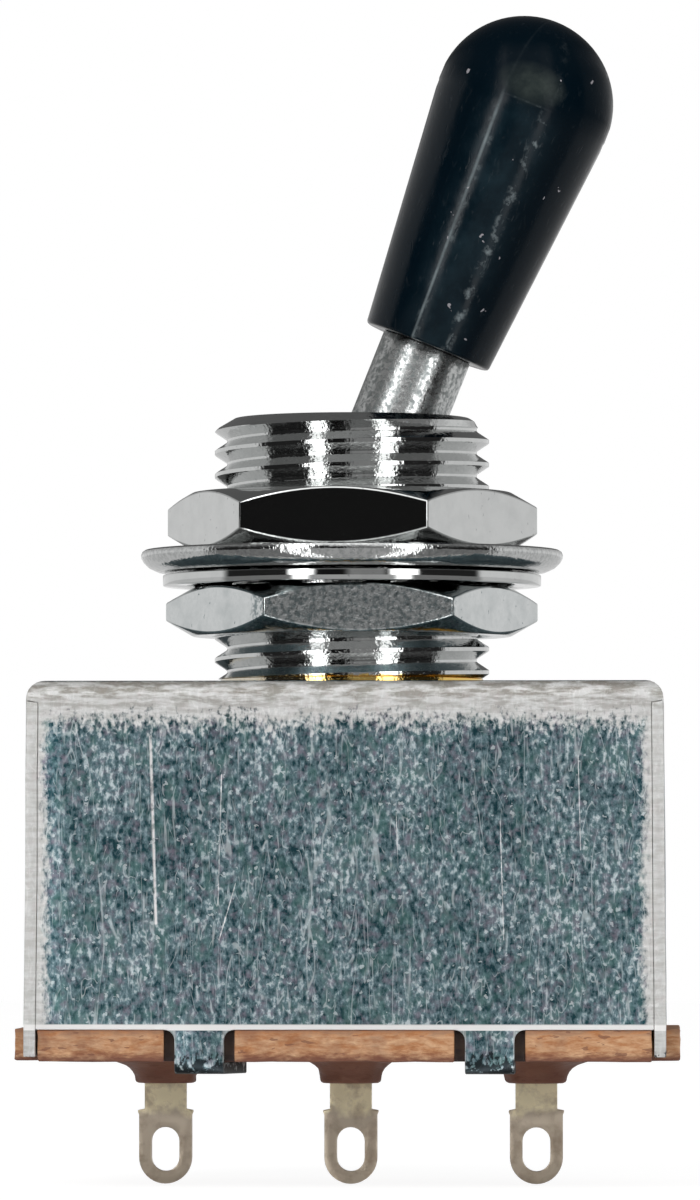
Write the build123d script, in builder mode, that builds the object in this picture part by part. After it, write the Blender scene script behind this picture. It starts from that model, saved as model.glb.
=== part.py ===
from build123d import *

import os
from math import cos, radians, sin, sqrt, tan

os.makedirs("parts", exist_ok=True)

# Three-way guitar pickup selector switch, box type, in millimetres.
# The origin is on the bushing's axis at the can's top face. +X runs along the can, +Y to the rear, +Z up the bushing.

# Folded steel can
sheet = 0.5
can_depth = 16.5
can_height = 14.8
can_top_radius = 0.6
seam_gap = 0.06
fold_gap = 0.03
fold_inner_radius = 0.1
tab_width = 2.1
tab_spacing = 12.3
tab_reach = 2.6
tab_root_fillet = 0.45
tab_skew = 0.85
leg_drop = 1.15

# Phenolic base board
board_thickness = 1.35
board_set_back = 0.1
ear_depth = 11.0
ear_reach = 0.65
boss_radius = 1.3
boss_height = 1.05
boss_flare_centre = 1.1
boss_flare_outer = 1.9

# Stamped terminals
terminal_spacing = 8.0
terminal_sheet = 0.5
lug_width = 2.28
lug_hole_width = 1.2
lug_hole_length = 1.9
lug_shoulder_drop = 1.2
lug_length = 3.14
lug_barb = 0.06
lug_barb_height = 0.18
neck_width = 1.8
pad_length = 2.8
slot_gap = 0.02

# Threaded bushing
thread_major_diameter = 11.9
thread_depth = 0.5
thread_relief = 0.05
bushing_height = 11.55
rim_chamfer_width = 0.85
rim_chamfer_wall_share = 0.6
rim_chamfer_drop = 0.5
collar_radius = 5.7
collar_height = 0.25
collar_hole_gap = 0.1
flange_thickness = 1.0
flange_side_gap = 0.85
spigot_wall = 0.55
bore_gap = 0.1
mouth_gap = 0.26

# Nuts and washers on the bushing
nut_wall = 1.05
nut_chamfer_inset = 0.1
nut_chamfer_angle = 30.0
nut_bore_gap = 0.05
lower_nut_seat = 2.1
lower_nut_height = 2.1
upper_nut_height = 2.5
lower_nut_turn = 4.5
upper_nut_turn = -4.3
lock_washer_thickness = 0.63
lock_ring_width = 1.0
lock_tooth_count = 10
lock_tooth_length = 1.1
lock_tooth_width = 1.4
lock_tooth_thickness = 0.3
lock_tooth_twist = 12.0
dress_washer_thickness = 1.0
dress_ring_width = 3.05
washer_bore_gap = 0.15
dress_edge = 0.25
dress_taper = 0.65

# Lever, its tip and its pivot
tilt = 21.8
pivot_height = 6.5
hub_radius = 2.6
hub_width = 3.0
pin_diameter = 1.5
pin_inset = 0.15
pin_running_gap = 0.03
lever_diameter = 4.0
stud_diameter = 3.4
stud_length = 7.5
rod_diameter = 2.2
drive_end_radius = 1.4
drive_end_width = 2.4
drive_end_headroom = 0.48
tip_start = 8.8
tip_length = 15.2
tip_base_diameter = 5.68
tip_head_diameter = 7.76
tip_bore_gap = 0.05

# Index plate and detents
plate_thickness = 0.8
plate_length = 22.0
plate_side_gap = 0.15
detent_window_length = 1.0
detent_window_width = 1.4
detent_ball_radius = 0.8
detent_ball_gap = 0.03
detent_wire = 0.25
detent_coils = 4
spring_steps = 7
wire_sides = 5

# Slider and sliding contact
slider_top_gap = 0.3
slider_side_gap = 0.15
slider_end_gap = 0.33
deck_thickness = 3.0
slider_body_width = 8.0
pocket_wall = 0.25
pocket_gap = 0.05
pocket_depth = 4.5
socket_gap = 0.06
socket_floor = 0.5
socket_mouth_half = 2.25
contact_strip = 0.4
contact_gap = 0.01
contact_width = 5.6
contact_overlap = 0.4
contact_body_gap = 2.9
lip_engagement = 1.0
lip_gap = 0.1
contact_spring_spacing = 10.0
contact_spring_diameter = 3.0
contact_wire = 0.4
contact_coils = 4
spring_pocket_depth = 3.0
spring_pocket_gap = 0.2

# Levels from the can's top face down
can_inside_top = -sheet
flange_bottom = can_inside_top - flange_thickness
plate_bottom = flange_bottom - plate_thickness
slider_top = plate_bottom - slider_top_gap
board_top = -can_height
board_bottom = board_top - board_thickness
boss_bottom = board_bottom - boss_height
lug_shoulder_z = boss_bottom - lug_shoulder_drop
lug_end_z = lug_shoulder_z - lug_length
pad_top = board_top + terminal_sheet
contact_bottom = pad_top + contact_gap
contact_top = contact_bottom + contact_strip

# Lever throw and what follows from it along the can
drive_arm = (pivot_height - plate_bottom + drive_end_headroom + drive_end_radius) / cos(radians(tilt))
travel = drive_arm * sin(radians(tilt))
rest_shift = -travel
contact_half = terminal_spacing + contact_overlap
inside_half_length = contact_half + travel + slider_end_gap
can_length = 2 * (inside_half_length + sheet)
inside_half_depth = can_depth / 2 - sheet
deck_half_length = inside_half_length - travel - slider_end_gap
deck_half_depth = inside_half_depth - slider_side_gap
ball_offset = deck_half_depth - pocket_wall - pocket_gap - detent_ball_radius

# Levels of the nut and washer stack up the bushing
lock_washer_seat = lower_nut_seat + lower_nut_height
dress_washer_seat = lock_washer_seat + lock_washer_thickness
upper_nut_seat = dress_washer_seat + dress_washer_thickness
stack_top = upper_nut_seat + upper_nut_height

thread_radius = thread_major_diameter / 2
core_radius = thread_radius - thread_depth
nut_across_flats = 2 * (thread_radius + nut_wall)
washer_bore_radius = thread_radius + washer_bore_gap
bore_radius = sqrt(hub_radius**2 + (hub_width / 2) ** 2) + bore_gap
tilt_sin = sin(radians(tilt))
tilt_cos = cos(radians(tilt))
tilt_tan = tan(radians(tilt))
lever_plane = Plane(origin=(0, 0, pivot_height), x_dir=(tilt_cos, 0, -tilt_sin), z_dir=(0, -1, 0))
lever_axis = Axis((0, 0, pivot_height), (tilt_sin, 0, tilt_cos))


def upright_plane(x, y):
    """A plane facing the front, whose vertical axis is the line through x, y."""
    return Plane(origin=(x, y, 0), x_dir=(1, 0, 0), z_dir=(0, -1, 0))


# Can: a box open at the bottom, its front and rear walls folded down between its end walls
end_wall_y = can_depth / 2 - (can_depth - ear_depth) / 4 + fold_gap / 2
leg_depth = (can_depth - ear_depth) / 2 - fold_gap
seam_x = can_length / 2 - sheet
with BuildPart() as housing:
    with BuildSketch(Plane.XY.offset(board_top)):
        Rectangle(can_length, can_depth)
    extrude(amount=can_height)
    fillet(housing.edges().group_by(Axis.Z)[-1], radius=can_top_radius)
    with BuildSketch(Plane.XY.offset(board_top)):
        Rectangle(can_length - 2 * sheet, can_depth - 2 * sheet)
    extrude(amount=can_height - sheet, mode=Mode.SUBTRACT)
    with BuildSketch(Plane.XY.offset(-can_height)):
        Circle(thread_radius + collar_hole_gap)
    extrude(amount=can_height, mode=Mode.SUBTRACT)
    # Legs of the end walls, beside the board's ears
    with BuildSketch(Plane.XY.offset(board_top)):
        with GridLocations(can_length - sheet, 2 * end_wall_y, 2, 2):
            Rectangle(sheet, leg_depth)
    extrude(amount=-leg_drop)
    # Tabs: straight stretch, bend and flap under the board
    for x in (-tab_spacing / 2, tab_spacing / 2):
        with BuildSketch(Plane.YZ.offset(x - tab_width / 2)) as tab_section:
            with BuildLine():
                outer_y = -can_depth / 2
                inner_y = outer_y + sheet
                flap_top = board_bottom - fold_gap
                flap_bottom = flap_top - sheet
                outer_radius = fold_inner_radius + sheet
                Line((inner_y, board_top), (outer_y, board_top))
                Line((outer_y, board_top), (outer_y, flap_bottom + outer_radius))
                RadiusArc(
                    (outer_y, flap_bottom + outer_radius),
                    (outer_y + outer_radius, flap_bottom),
                    -outer_radius,
                )
                Line((outer_y + outer_radius, flap_bottom), (outer_y + outer_radius + sheet, flap_bottom))
                Line((outer_y + outer_radius + sheet, flap_bottom), (outer_y + outer_radius + sheet, flap_top))
                Line((outer_y + outer_radius + sheet, flap_top), (inner_y + fold_inner_radius, flap_top))
                RadiusArc(
                    (inner_y + fold_inner_radius, flap_top),
                    (inner_y, flap_top + fold_inner_radius),
                    fold_inner_radius,
                )
                Line((inner_y, flap_top + fold_inner_radius), (inner_y, board_top))
            make_face()
        tab = extrude(amount=tab_width)
        mirror(tab, about=Plane.XZ)
    # Flap ends: three run straight back, the front left one is skewed as it was bent
    flap_start = can_depth / 2 - outer_radius - sheet
    flap_end = can_depth / 2 - tab_reach
    for x, side, skew in (
        (-tab_spacing / 2, -1, tab_skew),
        (tab_spacing / 2, -1, 0),
        (-tab_spacing / 2, 1, 0),
        (tab_spacing / 2, 1, 0),
    ):
        with BuildSketch(Plane.XY.offset(flap_bottom)):
            with BuildLine():
                Polyline(
                    (x - tab_width / 2, side * flap_start),
                    (x + tab_width / 2, side * flap_start),
                    (x + tab_width / 2 + skew, side * flap_end),
                    (x - tab_width / 2 + skew, side * flap_end),
                    close=True,
                )
            make_face()
        extrude(amount=sheet)
    # Fillets where each tab leaves its wall
    tab_roots = (
        housing.edges()
        .filter_by(Axis.Y)
        .filter_by(lambda e: abs(e.center().Z - board_top) < fold_gap)
        .filter_by(lambda e: abs(abs(e.center().X) - tab_spacing / 2) < tab_width)
    )
    fillet(tab_roots, radius=tab_root_fillet)
    # Open corner seams of the folded sheet
    seam_top = -can_top_radius - seam_gap
    with BuildSketch(Plane.XY.offset(board_top)):
        with GridLocations(2 * seam_x, can_depth - sheet, 2, 2):
            Rectangle(seam_gap, sheet)
    extrude(amount=seam_top - board_top, mode=Mode.SUBTRACT)
housing.part.label = "housing"
export_step(housing.part, "parts/housing.step")

# Base board: between the end walls' legs, an ear through the notch at each end, its long edges notched for the tabs
lug_y = -pad_length / 2 + terminal_sheet / 2
notch_width = tab_width + 2 * tab_root_fillet
notch_depth = sheet + fold_gap - board_set_back
with BuildPart() as base_board:
    with BuildSketch(Plane.XY.offset(board_top)):
        Rectangle(can_length - 2 * (sheet + fold_gap), can_depth - 2 * board_set_back)
        Rectangle(can_length + 2 * ear_reach, ear_depth)
        with GridLocations(tab_spacing, can_depth - 2 * board_set_back - notch_depth, 2, 2):
            Rectangle(notch_width, notch_depth, mode=Mode.SUBTRACT)
    extrude(amount=-board_thickness)
    # Flared boss round each lug
    for x, flare in (
        (-terminal_spacing, boss_flare_outer),
        (0, boss_flare_centre),
        (terminal_spacing, boss_flare_outer),
    ):
        with BuildSketch(upright_plane(x, lug_y)):
            with BuildLine():
                Polyline(
                    (0, board_bottom),
                    (0, boss_bottom),
                    (boss_radius, boss_bottom),
                    (boss_radius + flare, board_bottom),
                    close=True,
                )
            make_face()
        revolve(axis=Axis((x, lug_y, 0), (0, 0, 1)))
    # Slots for the terminals' necks
    with BuildSketch(Plane.XY.offset(boss_bottom)):
        with GridLocations(terminal_spacing, 0, 3, 1):
            with Locations((0, lug_y)):
                Rectangle(neck_width + 2 * slot_gap, terminal_sheet + 2 * slot_gap)
    extrude(amount=board_top - boss_bottom, mode=Mode.SUBTRACT)
base_board.part.label = "base_board"
export_step(base_board.part, "parts/base_board.step")


def make_terminal(x):
    """Stamped lug, its neck up through the board, and the contact pad bent over on top."""
    lug_radius = lug_width / 2
    with BuildPart() as terminal:
        with BuildSketch(Plane(origin=(x, lug_y + terminal_sheet / 2, 0), x_dir=(1, 0, 0), z_dir=(0, -1, 0))):
            with BuildLine():
                Polyline(
                    (-lug_radius, lug_end_z + lug_radius),
                    (-lug_radius, lug_shoulder_z - lug_barb_height),
                    (-lug_radius - lug_barb, lug_shoulder_z),
                    (-neck_width / 2, lug_shoulder_z + lug_barb),
                    (-neck_width / 2, pad_top),
                    (neck_width / 2, pad_top),
                    (neck_width / 2, lug_shoulder_z + lug_barb),
                    (lug_radius + lug_barb, lug_shoulder_z),
                    (lug_radius, lug_shoulder_z - lug_barb_height),
                    (lug_radius, lug_end_z + lug_radius),
                )
                ThreePointArc(
                    (lug_radius, lug_end_z + lug_radius),
                    (0, lug_end_z),
                    (-lug_radius, lug_end_z + lug_radius),
                )
            make_face()
            with Locations((0, lug_end_z + lug_radius + lug_hole_length / 2 - lug_hole_width / 2)):
                SlotOverall(lug_hole_length, lug_hole_width, rotation=90, mode=Mode.SUBTRACT)
        extrude(amount=terminal_sheet)
        with BuildSketch(Plane.XY.offset(board_top)):
            with Locations((x, lug_y - terminal_sheet / 2 + pad_length / 2)):
                Rectangle(neck_width, pad_length)
        extrude(amount=terminal_sheet)
    return terminal.part


terminals = {"terminal_left": -1, "terminal_centre": 0, "terminal_right": 1}
for name, place in terminals.items():
    terminal_part = make_terminal(place * terminal_spacing)
    terminal_part.label = name
    export_step(terminal_part, f"parts/{name}.step")

# Bushing: turned brass, bored for the lever's hub and its throw. Its thread is plain, at the crest where it is free
# and at the root under the nuts and washers
rod_radius = rod_diameter / 2
rod_lean = rod_radius / tilt_cos + mouth_gap
spigot_bore = (pivot_height - plate_bottom) * tilt_tan + rod_lean
spigot_radius = spigot_bore + spigot_wall
counterbore_top = pivot_height - (bore_radius - rod_lean) / tilt_tan
rim_drop = bushing_height - pivot_height
rim_bore = rim_drop * tilt_tan + lever_diameter / 2 / tilt_cos + mouth_gap
rim_flat_radius = thread_radius - min(rim_chamfer_width, rim_chamfer_wall_share * (thread_radius - rim_bore))
neck_drop = (bore_radius - mouth_gap - lever_diameter / 2 / tilt_cos) / tilt_tan
flange_radius = inside_half_depth - flange_side_gap
with BuildPart() as bushing:
    with BuildSketch(Plane.XZ):
        with BuildLine():
            Polyline(
                (rim_bore, bushing_height),
                (rim_flat_radius, bushing_height),
                (thread_radius, bushing_height - rim_chamfer_drop),
                (thread_radius, stack_top + thread_relief),
                (core_radius, stack_top + thread_relief),
                (core_radius, lower_nut_seat - thread_relief),
                (thread_radius, lower_nut_seat - thread_relief),
                (thread_radius, collar_height),
                (collar_radius, collar_height),
                (collar_radius, can_inside_top),
                (flange_radius, can_inside_top),
                (flange_radius, flange_bottom),
                (spigot_radius, flange_bottom),
                (spigot_radius, plate_bottom),
                (spigot_bore, plate_bottom),
                (spigot_bore, collar_height),
                (bore_radius, counterbore_top),
                (bore_radius, pivot_height + neck_drop),
                (rim_bore, bushing_height),
            )
        make_face()
    revolve(axis=Axis.Z)
    with BuildSketch(Plane.XZ):
        with Locations((0, pivot_height)):
            Circle(pin_diameter / 2)
    extrude(amount=thread_radius, both=True, mode=Mode.SUBTRACT)
bushing.part.label = "bushing"
export_step(bushing.part, "parts/bushing.step")

# Cross pin, flush inside the thread's root
pin_length = 2 * (core_radius - pin_inset)
with BuildPart() as pivot_pin:
    with BuildSketch(Plane.XZ.offset(-pin_length / 2)):
        with Locations((0, pivot_height)):
            Circle(pin_diameter / 2)
    extrude(amount=pin_length)
pivot_pin.part.label = "pivot_pin"
export_step(pivot_pin.part, "parts/pivot_pin.step")

# Index plate: pressed over the bushing's spigot, with a row of three punched detent windows along each side
with BuildPart() as detent_plate:
    with BuildSketch(Plane.XY.offset(plate_bottom)):
        Rectangle(plate_length, 2 * (inside_half_depth - plate_side_gap))
        Circle(spigot_radius + fold_gap, mode=Mode.SUBTRACT)
        with GridLocations(travel, 2 * ball_offset, 3, 2):
            Rectangle(detent_window_length, detent_window_width, mode=Mode.SUBTRACT)
    extrude(amount=plate_thickness)
detent_plate.part.label = "detent_plate"
export_step(detent_plate.part, "parts/detent_plate.step")


def make_nut(seat, height, turn):
    """Hexagon nut with both faces chamfered, flats to the front, turned a few degrees as it was tightened."""
    corner_radius = nut_across_flats / sqrt(3)
    face_radius = nut_across_flats / 2 - nut_chamfer_inset
    chamfer_drop = (corner_radius - face_radius) * tan(radians(nut_chamfer_angle))
    with BuildPart() as nut:
        with BuildSketch(Plane.XY.offset(seat)):
            RegularPolygon(corner_radius, 6, rotation=turn)
        extrude(amount=height)
        with BuildSketch(Plane.XZ):
            with BuildLine():
                Polyline(
                    (0, seat),
                    (face_radius, seat),
                    (corner_radius, seat + chamfer_drop),
                    (corner_radius, seat + height - chamfer_drop),
                    (face_radius, seat + height),
                    (0, seat + height),
                    close=True,
                )
            make_face()
        revolve(axis=Axis.Z, mode=Mode.INTERSECT)
        with BuildSketch(Plane.XY.offset(seat)):
            Circle(core_radius + nut_bore_gap)
        extrude(amount=height, mode=Mode.SUBTRACT)
    return nut.part


nuts = {
    "lower_nut": (lower_nut_seat, lower_nut_height, lower_nut_turn),
    "upper_nut": (upper_nut_seat, upper_nut_height, upper_nut_turn),
}
for name, (seat, height, turn) in nuts.items():
    nut_part = make_nut(seat, height, turn)
    nut_part.label = name
    export_step(nut_part, f"parts/{name}.step")

# Lock washer: flat ring with twisted teeth on its inside
lock_inner_radius = washer_bore_radius + lock_tooth_length
lock_mid_z = lock_washer_seat + lock_washer_thickness / 2
with BuildPart() as lock_washer:
    with BuildSketch(Plane.XY.offset(lock_washer_seat)):
        Circle(lock_inner_radius + lock_ring_width)
        Circle(lock_inner_radius, mode=Mode.SUBTRACT)
    extrude(amount=lock_washer_thickness)
    for i in range(lock_tooth_count):
        radial = Vector(1, 0, 0).rotate(Axis.Z, i * 360 / lock_tooth_count)
        tooth_start = radial * washer_bore_radius + Vector(0, 0, lock_mid_z)
        tooth_up = Vector(0, 0, 1).rotate(Axis((0, 0, 0), radial), lock_tooth_twist)
        with BuildSketch(Plane(origin=tooth_start, x_dir=tooth_up, z_dir=radial)):
            Rectangle(lock_tooth_thickness, lock_tooth_width)
        extrude(amount=lock_tooth_length + lock_ring_width / 2)
lock_washer.part.label = "lock_washer"
export_step(lock_washer.part, "parts/lock_washer.step")

# Dress washer: flat on top, its rim eased on top and tapering in below
with BuildPart() as dress_washer:
    rim = washer_bore_radius + dress_ring_width
    top = upper_nut_seat
    with BuildSketch(Plane.XZ):
        with BuildLine():
            Polyline(
                (washer_bore_radius, dress_washer_seat),
                (rim - dress_taper, dress_washer_seat),
                (rim, top - dress_edge),
                (rim - dress_edge, top),
                (washer_bore_radius, top),
                close=True,
            )
        make_face()
    revolve(axis=Axis.Z)
dress_washer.part.label = "dress_washer"
export_step(dress_washer.part, "parts/dress_washer.step")

# Lever: stud for the tip, round shaft, hub on the pin, and a rod whose end is a roller-shaped crosspiece
stud_end = tip_start + stud_length
shaft_radius = lever_diameter / 2
stud_radius = stud_diameter / 2
hub_half = hub_width / 2
with BuildPart() as lever:
    with BuildSketch(lever_plane):
        with BuildLine():
            Polyline(
                (0, -drive_arm),
                (0, stud_end),
                (stud_radius, stud_end),
                (stud_radius, tip_start),
                (shaft_radius, tip_start),
                (shaft_radius, hub_half),
                (hub_radius, hub_half),
                (hub_radius, -hub_half),
                (rod_radius, -hub_half),
                (rod_radius, -drive_arm),
                close=True,
            )
        make_face()
    revolve(axis=lever_axis)
    with BuildSketch(lever_plane):
        with Locations((0, -drive_arm)):
            Circle(drive_end_radius)
    extrude(amount=drive_end_width / 2, both=True)
    with BuildSketch(Plane.XZ):
        with Locations((0, pivot_height)):
            Circle(pin_diameter / 2 + pin_running_gap)
    extrude(amount=hub_radius, both=True, mode=Mode.SUBTRACT)
lever.part.label = "lever"
export_step(lever.part, "parts/lever.step")

# Tip: tapered grip that runs into a round head, bored for the lever's stud
base_radius = tip_base_diameter / 2
head_radius = tip_head_diameter / 2
head_centre = tip_start + tip_length - head_radius
taper_length = head_centre - tip_start
taper = (head_radius - base_radius) / taper_length
meet_s = head_centre - head_radius * taper / sqrt(1 + taper**2)
meet_radius = head_radius / sqrt(1 + taper**2)
bore_end = stud_end + tip_bore_gap
with BuildPart() as lever_tip:
    with BuildSketch(lever_plane):
        with BuildLine():
            Line((base_radius, tip_start), (meet_radius, meet_s))
            ThreePointArc(
                (meet_radius, meet_s),
                (head_radius * sin(radians(45)), head_centre + head_radius * cos(radians(45))),
                (0, head_centre + head_radius),
            )
            Polyline(
                (0, head_centre + head_radius),
                (0, bore_end),
                (stud_radius + tip_bore_gap, bore_end),
                (stud_radius + tip_bore_gap, tip_start),
                (base_radius, tip_start),
            )
        make_face()
    revolve(axis=lever_axis)
lever_tip.part.label = "lever_tip"
export_step(lever_tip.part, "parts/lever_tip.step")

# Slider: guided deck, body with the lever's socket, pockets for the detents above and the contact springs below
body_half = contact_half - contact_strip - lip_gap
body_bottom = contact_top + contact_body_gap
deck_bottom = slider_top - deck_thickness
pocket_radius = detent_ball_radius + pocket_gap
pocket_bottom = slider_top - pocket_depth
socket_half = drive_end_radius + socket_gap
socket_bottom = pivot_height - drive_arm - drive_end_radius - socket_floor
spring_seat = body_bottom + spring_pocket_depth
spring_pocket_radius = contact_spring_diameter / 2 + spring_pocket_gap
socket_throat = pivot_height - drive_arm * tilt_cos
with BuildPart() as slider:
    with BuildSketch(Plane.XY.offset(slider_top)):
        with Locations((rest_shift, 0)):
            Rectangle(2 * deck_half_length, 2 * deck_half_depth)
    extrude(amount=-deck_thickness)
    with BuildSketch(Plane.XY.offset(slider_top)):
        with Locations((rest_shift, 0)):
            Rectangle(2 * body_half, slider_body_width)
    extrude(amount=body_bottom - slider_top)
    with BuildSketch(Plane.XY.offset(slider_top)):
        with Locations((rest_shift, 0)):
            with GridLocations(0, 2 * ball_offset, 1, 2):
                Rectangle(2 * (pocket_radius + 2 * pocket_wall), 2 * (pocket_radius + pocket_wall))
    extrude(amount=-pocket_depth - 2 * pocket_wall)
    with BuildSketch(Plane.XY.offset(slider_top)):
        with Locations((rest_shift, 0)):
            with GridLocations(0, 2 * ball_offset, 1, 2):
                Circle(pocket_radius)
    extrude(amount=-pocket_depth, mode=Mode.SUBTRACT)
    with BuildSketch(upright_plane(rest_shift, 0)):
        with BuildLine():
            Polyline(
                (-socket_mouth_half, slider_top),
                (socket_mouth_half, slider_top),
                (socket_half, socket_throat),
                (socket_half, socket_bottom),
                (-socket_half, socket_bottom),
                (-socket_half, socket_throat),
                close=True,
            )
        make_face()
    extrude(amount=drive_end_width / 2 + socket_gap, both=True, mode=Mode.SUBTRACT)
    with BuildSketch(Plane.XY.offset(body_bottom)):
        with Locations((rest_shift, 0)):
            with GridLocations(contact_spring_spacing, 0, 2, 1):
                Circle(spring_pocket_radius)
    extrude(amount=spring_pocket_depth, mode=Mode.SUBTRACT)
slider.part.label = "slider"
export_step(slider.part, "parts/slider.step")

# Bridge contact: strip with a lip turned up at each end, over the slider's body
lip_top = body_bottom + lip_engagement
with BuildPart() as bridge_contact:
    with BuildSketch(Plane.XZ.offset(-contact_width / 2)):
        with BuildLine():
            left = rest_shift - contact_half
            right = rest_shift + contact_half
            Polyline(
                (left, lip_top),
                (left, contact_bottom),
                (right, contact_bottom),
                (right, lip_top),
                (right - contact_strip, lip_top),
                (right - contact_strip, contact_top),
                (left + contact_strip, contact_top),
                (left + contact_strip, lip_top),
                close=True,
            )
        make_face()
    extrude(amount=contact_width)
bridge_contact.part.label = "bridge_contact"
export_step(bridge_contact.part, "parts/bridge_contact.step")


def make_spring(x, y, bottom, top, outside_diameter, wire, coils):
    """Compression spring, its wire bent in short straight steps round the coil."""
    coil_radius = (outside_diameter - wire) / 2
    step_count = coils * spring_steps
    rise = (top - bottom - wire) / step_count
    start = Vector(coil_radius, 0, bottom + wire / 2)
    path_points = [
        start.rotate(Axis.Z, i * 360 / spring_steps) + Vector(x, y, i * rise)
        for i in range(step_count + 1)
    ]
    with BuildPart() as spring:
        with BuildLine() as coil:
            Polyline(*path_points)
        with BuildSketch(Plane(origin=coil.line @ 0, z_dir=coil.line % 0)):
            RegularPolygon(wire / 2, wire_sides)
        sweep(path=coil.line, transition=Transition.RIGHT)
    return spring.part


springs = {
    "contact_spring_left": (rest_shift - contact_spring_spacing / 2, 0),
    "contact_spring_right": (rest_shift + contact_spring_spacing / 2, 0),
}
for name, (x, y) in springs.items():
    spring_part = make_spring(x, y, contact_top, spring_seat, contact_spring_diameter, contact_wire, contact_coils)
    spring_part.label = name
    export_step(spring_part, f"parts/{name}.step")

# Detent balls under the index plate, each on its spring in the slider's pocket
ball_z = plate_bottom - detent_ball_gap - detent_ball_radius
detent_spring_diameter = 2 * (pocket_radius - pocket_gap)
for place, y in (("front", -ball_offset), ("rear", ball_offset)):
    with BuildPart() as detent_ball:
        with BuildSketch(upright_plane(rest_shift, y)):
            with BuildLine():
                ThreePointArc(
                    (0, ball_z - detent_ball_radius),
                    (detent_ball_radius, ball_z),
                    (0, ball_z + detent_ball_radius),
                )
                Line((0, ball_z + detent_ball_radius), (0, ball_z - detent_ball_radius))
            make_face()
        revolve(axis=Axis((rest_shift, y, 0), (0, 0, 1)))
    detent_ball.part.label = f"detent_ball_{place}"
    export_step(detent_ball.part, f"parts/detent_ball_{place}.step")
    detent_spring = make_spring(
        rest_shift,
        y,
        pocket_bottom,
        ball_z - detent_ball_radius,
        detent_spring_diameter,
        detent_wire,
        detent_coils,
    )
    detent_spring.label = f"detent_spring_{place}"
    export_step(detent_spring, f"parts/detent_spring_{place}.step")
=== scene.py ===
import math

import bmesh
import bpy
from mathutils import Matrix, Vector, noise


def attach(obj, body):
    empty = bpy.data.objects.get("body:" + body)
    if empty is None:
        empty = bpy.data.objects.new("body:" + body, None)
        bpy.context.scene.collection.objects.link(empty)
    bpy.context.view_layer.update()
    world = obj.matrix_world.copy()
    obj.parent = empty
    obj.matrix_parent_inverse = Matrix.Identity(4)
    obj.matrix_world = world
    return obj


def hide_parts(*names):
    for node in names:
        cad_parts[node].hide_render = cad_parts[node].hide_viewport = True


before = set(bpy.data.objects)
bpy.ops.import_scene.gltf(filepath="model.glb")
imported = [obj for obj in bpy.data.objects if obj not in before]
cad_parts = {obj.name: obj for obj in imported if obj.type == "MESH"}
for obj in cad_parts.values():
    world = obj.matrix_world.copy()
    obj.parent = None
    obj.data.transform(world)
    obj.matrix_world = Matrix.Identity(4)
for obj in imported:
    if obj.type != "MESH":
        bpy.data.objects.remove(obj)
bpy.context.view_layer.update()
mm = 0.001
print("frame loaded")

# Pieces are made in millimetres, and scaled to metres when they are finished


def lathe(bm, points, steps, rise=0.0, merge=True):
    # turns an open line of (radius, height) points about the upright axis, rising at every step
    verts = [bm.verts.new((radius, 0, height)) for radius, height in points]
    edges = [bm.edges.new(pair) for pair in zip(verts, verts[1:])]
    bmesh.ops.spin(bm, geom=verts + edges, cent=(0, 0, 0), axis=(0, 0, 1), dvec=(0, 0, rise),
                   angle=math.tau, steps=steps, space=Matrix(), use_merge=merge, use_duplicate=False)


def vertsOf(made):
    return [item for item in made if isinstance(item, bmesh.types.BMVert)]


def edgesAmong(made, verts):
    return [item for item in made if isinstance(item, bmesh.types.BMEdge)
            and all(vert in verts for vert in item.verts)]


def openEdges(bm, test):
    # edges of the mesh's border whose ends both pass the test
    return [edge for edge in bm.edges if edge.is_boundary and all(test(vert.co) for vert in edge.verts)]


def onCircle(angle, place):
    radius, height = place(angle)
    return radius * math.cos(angle), radius * math.sin(angle), height


def startRing(bm, place, segments, turn=0.0):
    ring = bmesh.ops.create_circle(bm, cap_ends=False, segments=segments, radius=1)["verts"]
    for vert in ring:
        vert.co = onCircle(math.atan2(vert.co.y, vert.co.x) + turn, place)
    return list({edge for vert in ring for edge in vert.link_edges})


def nextRing(bm, edges, place):
    # extrudes a loop and puts the new one where place says, by angle
    made = bmesh.ops.extrude_edge_only(bm, edges=edges)["geom"]
    verts = set(vertsOf(made))
    for vert in verts:
        vert.co = onCircle(math.atan2(vert.co.y, vert.co.x), place)
    return edgesAmong(made, verts)


def cut(bm, place, normal, clearOuter=False, dist=1e-4):
    bmesh.ops.bisect_plane(bm, geom=bm.verts[:] + bm.edges[:] + bm.faces[:], dist=dist,
                           plane_co=place, plane_no=normal, clear_outer=clearOuter)


def cutAcross(bm, axis, places):
    normal = Vector()
    normal["xyz".index(axis)] = 1
    for place in places:
        cut(bm, normal * place, normal)


def weld(bm):
    bmesh.ops.remove_doubles(bm, verts=bm.verts, dist=0.0015)
    bmesh.ops.recalc_face_normals(bm, faces=bm.faces)


def roundOff(bm, edges, width, segments):
    bmesh.ops.bevel(bm, geom=edges, offset=width, offset_type="OFFSET", segments=segments, profile=0.5,
                    affect="EDGES", clamp_overlap=True, material=-1)


def soften(bm, width, minAngle):
    sharp = [edge for edge in bm.edges
             if len(edge.link_faces) == 2 and edge.calc_face_angle() > math.radians(minAngle)]
    roundOff(bm, sharp, width, 2)


def noiseAt(x, y, z):
    return noise.noise(Vector((x, y, z)))


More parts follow.
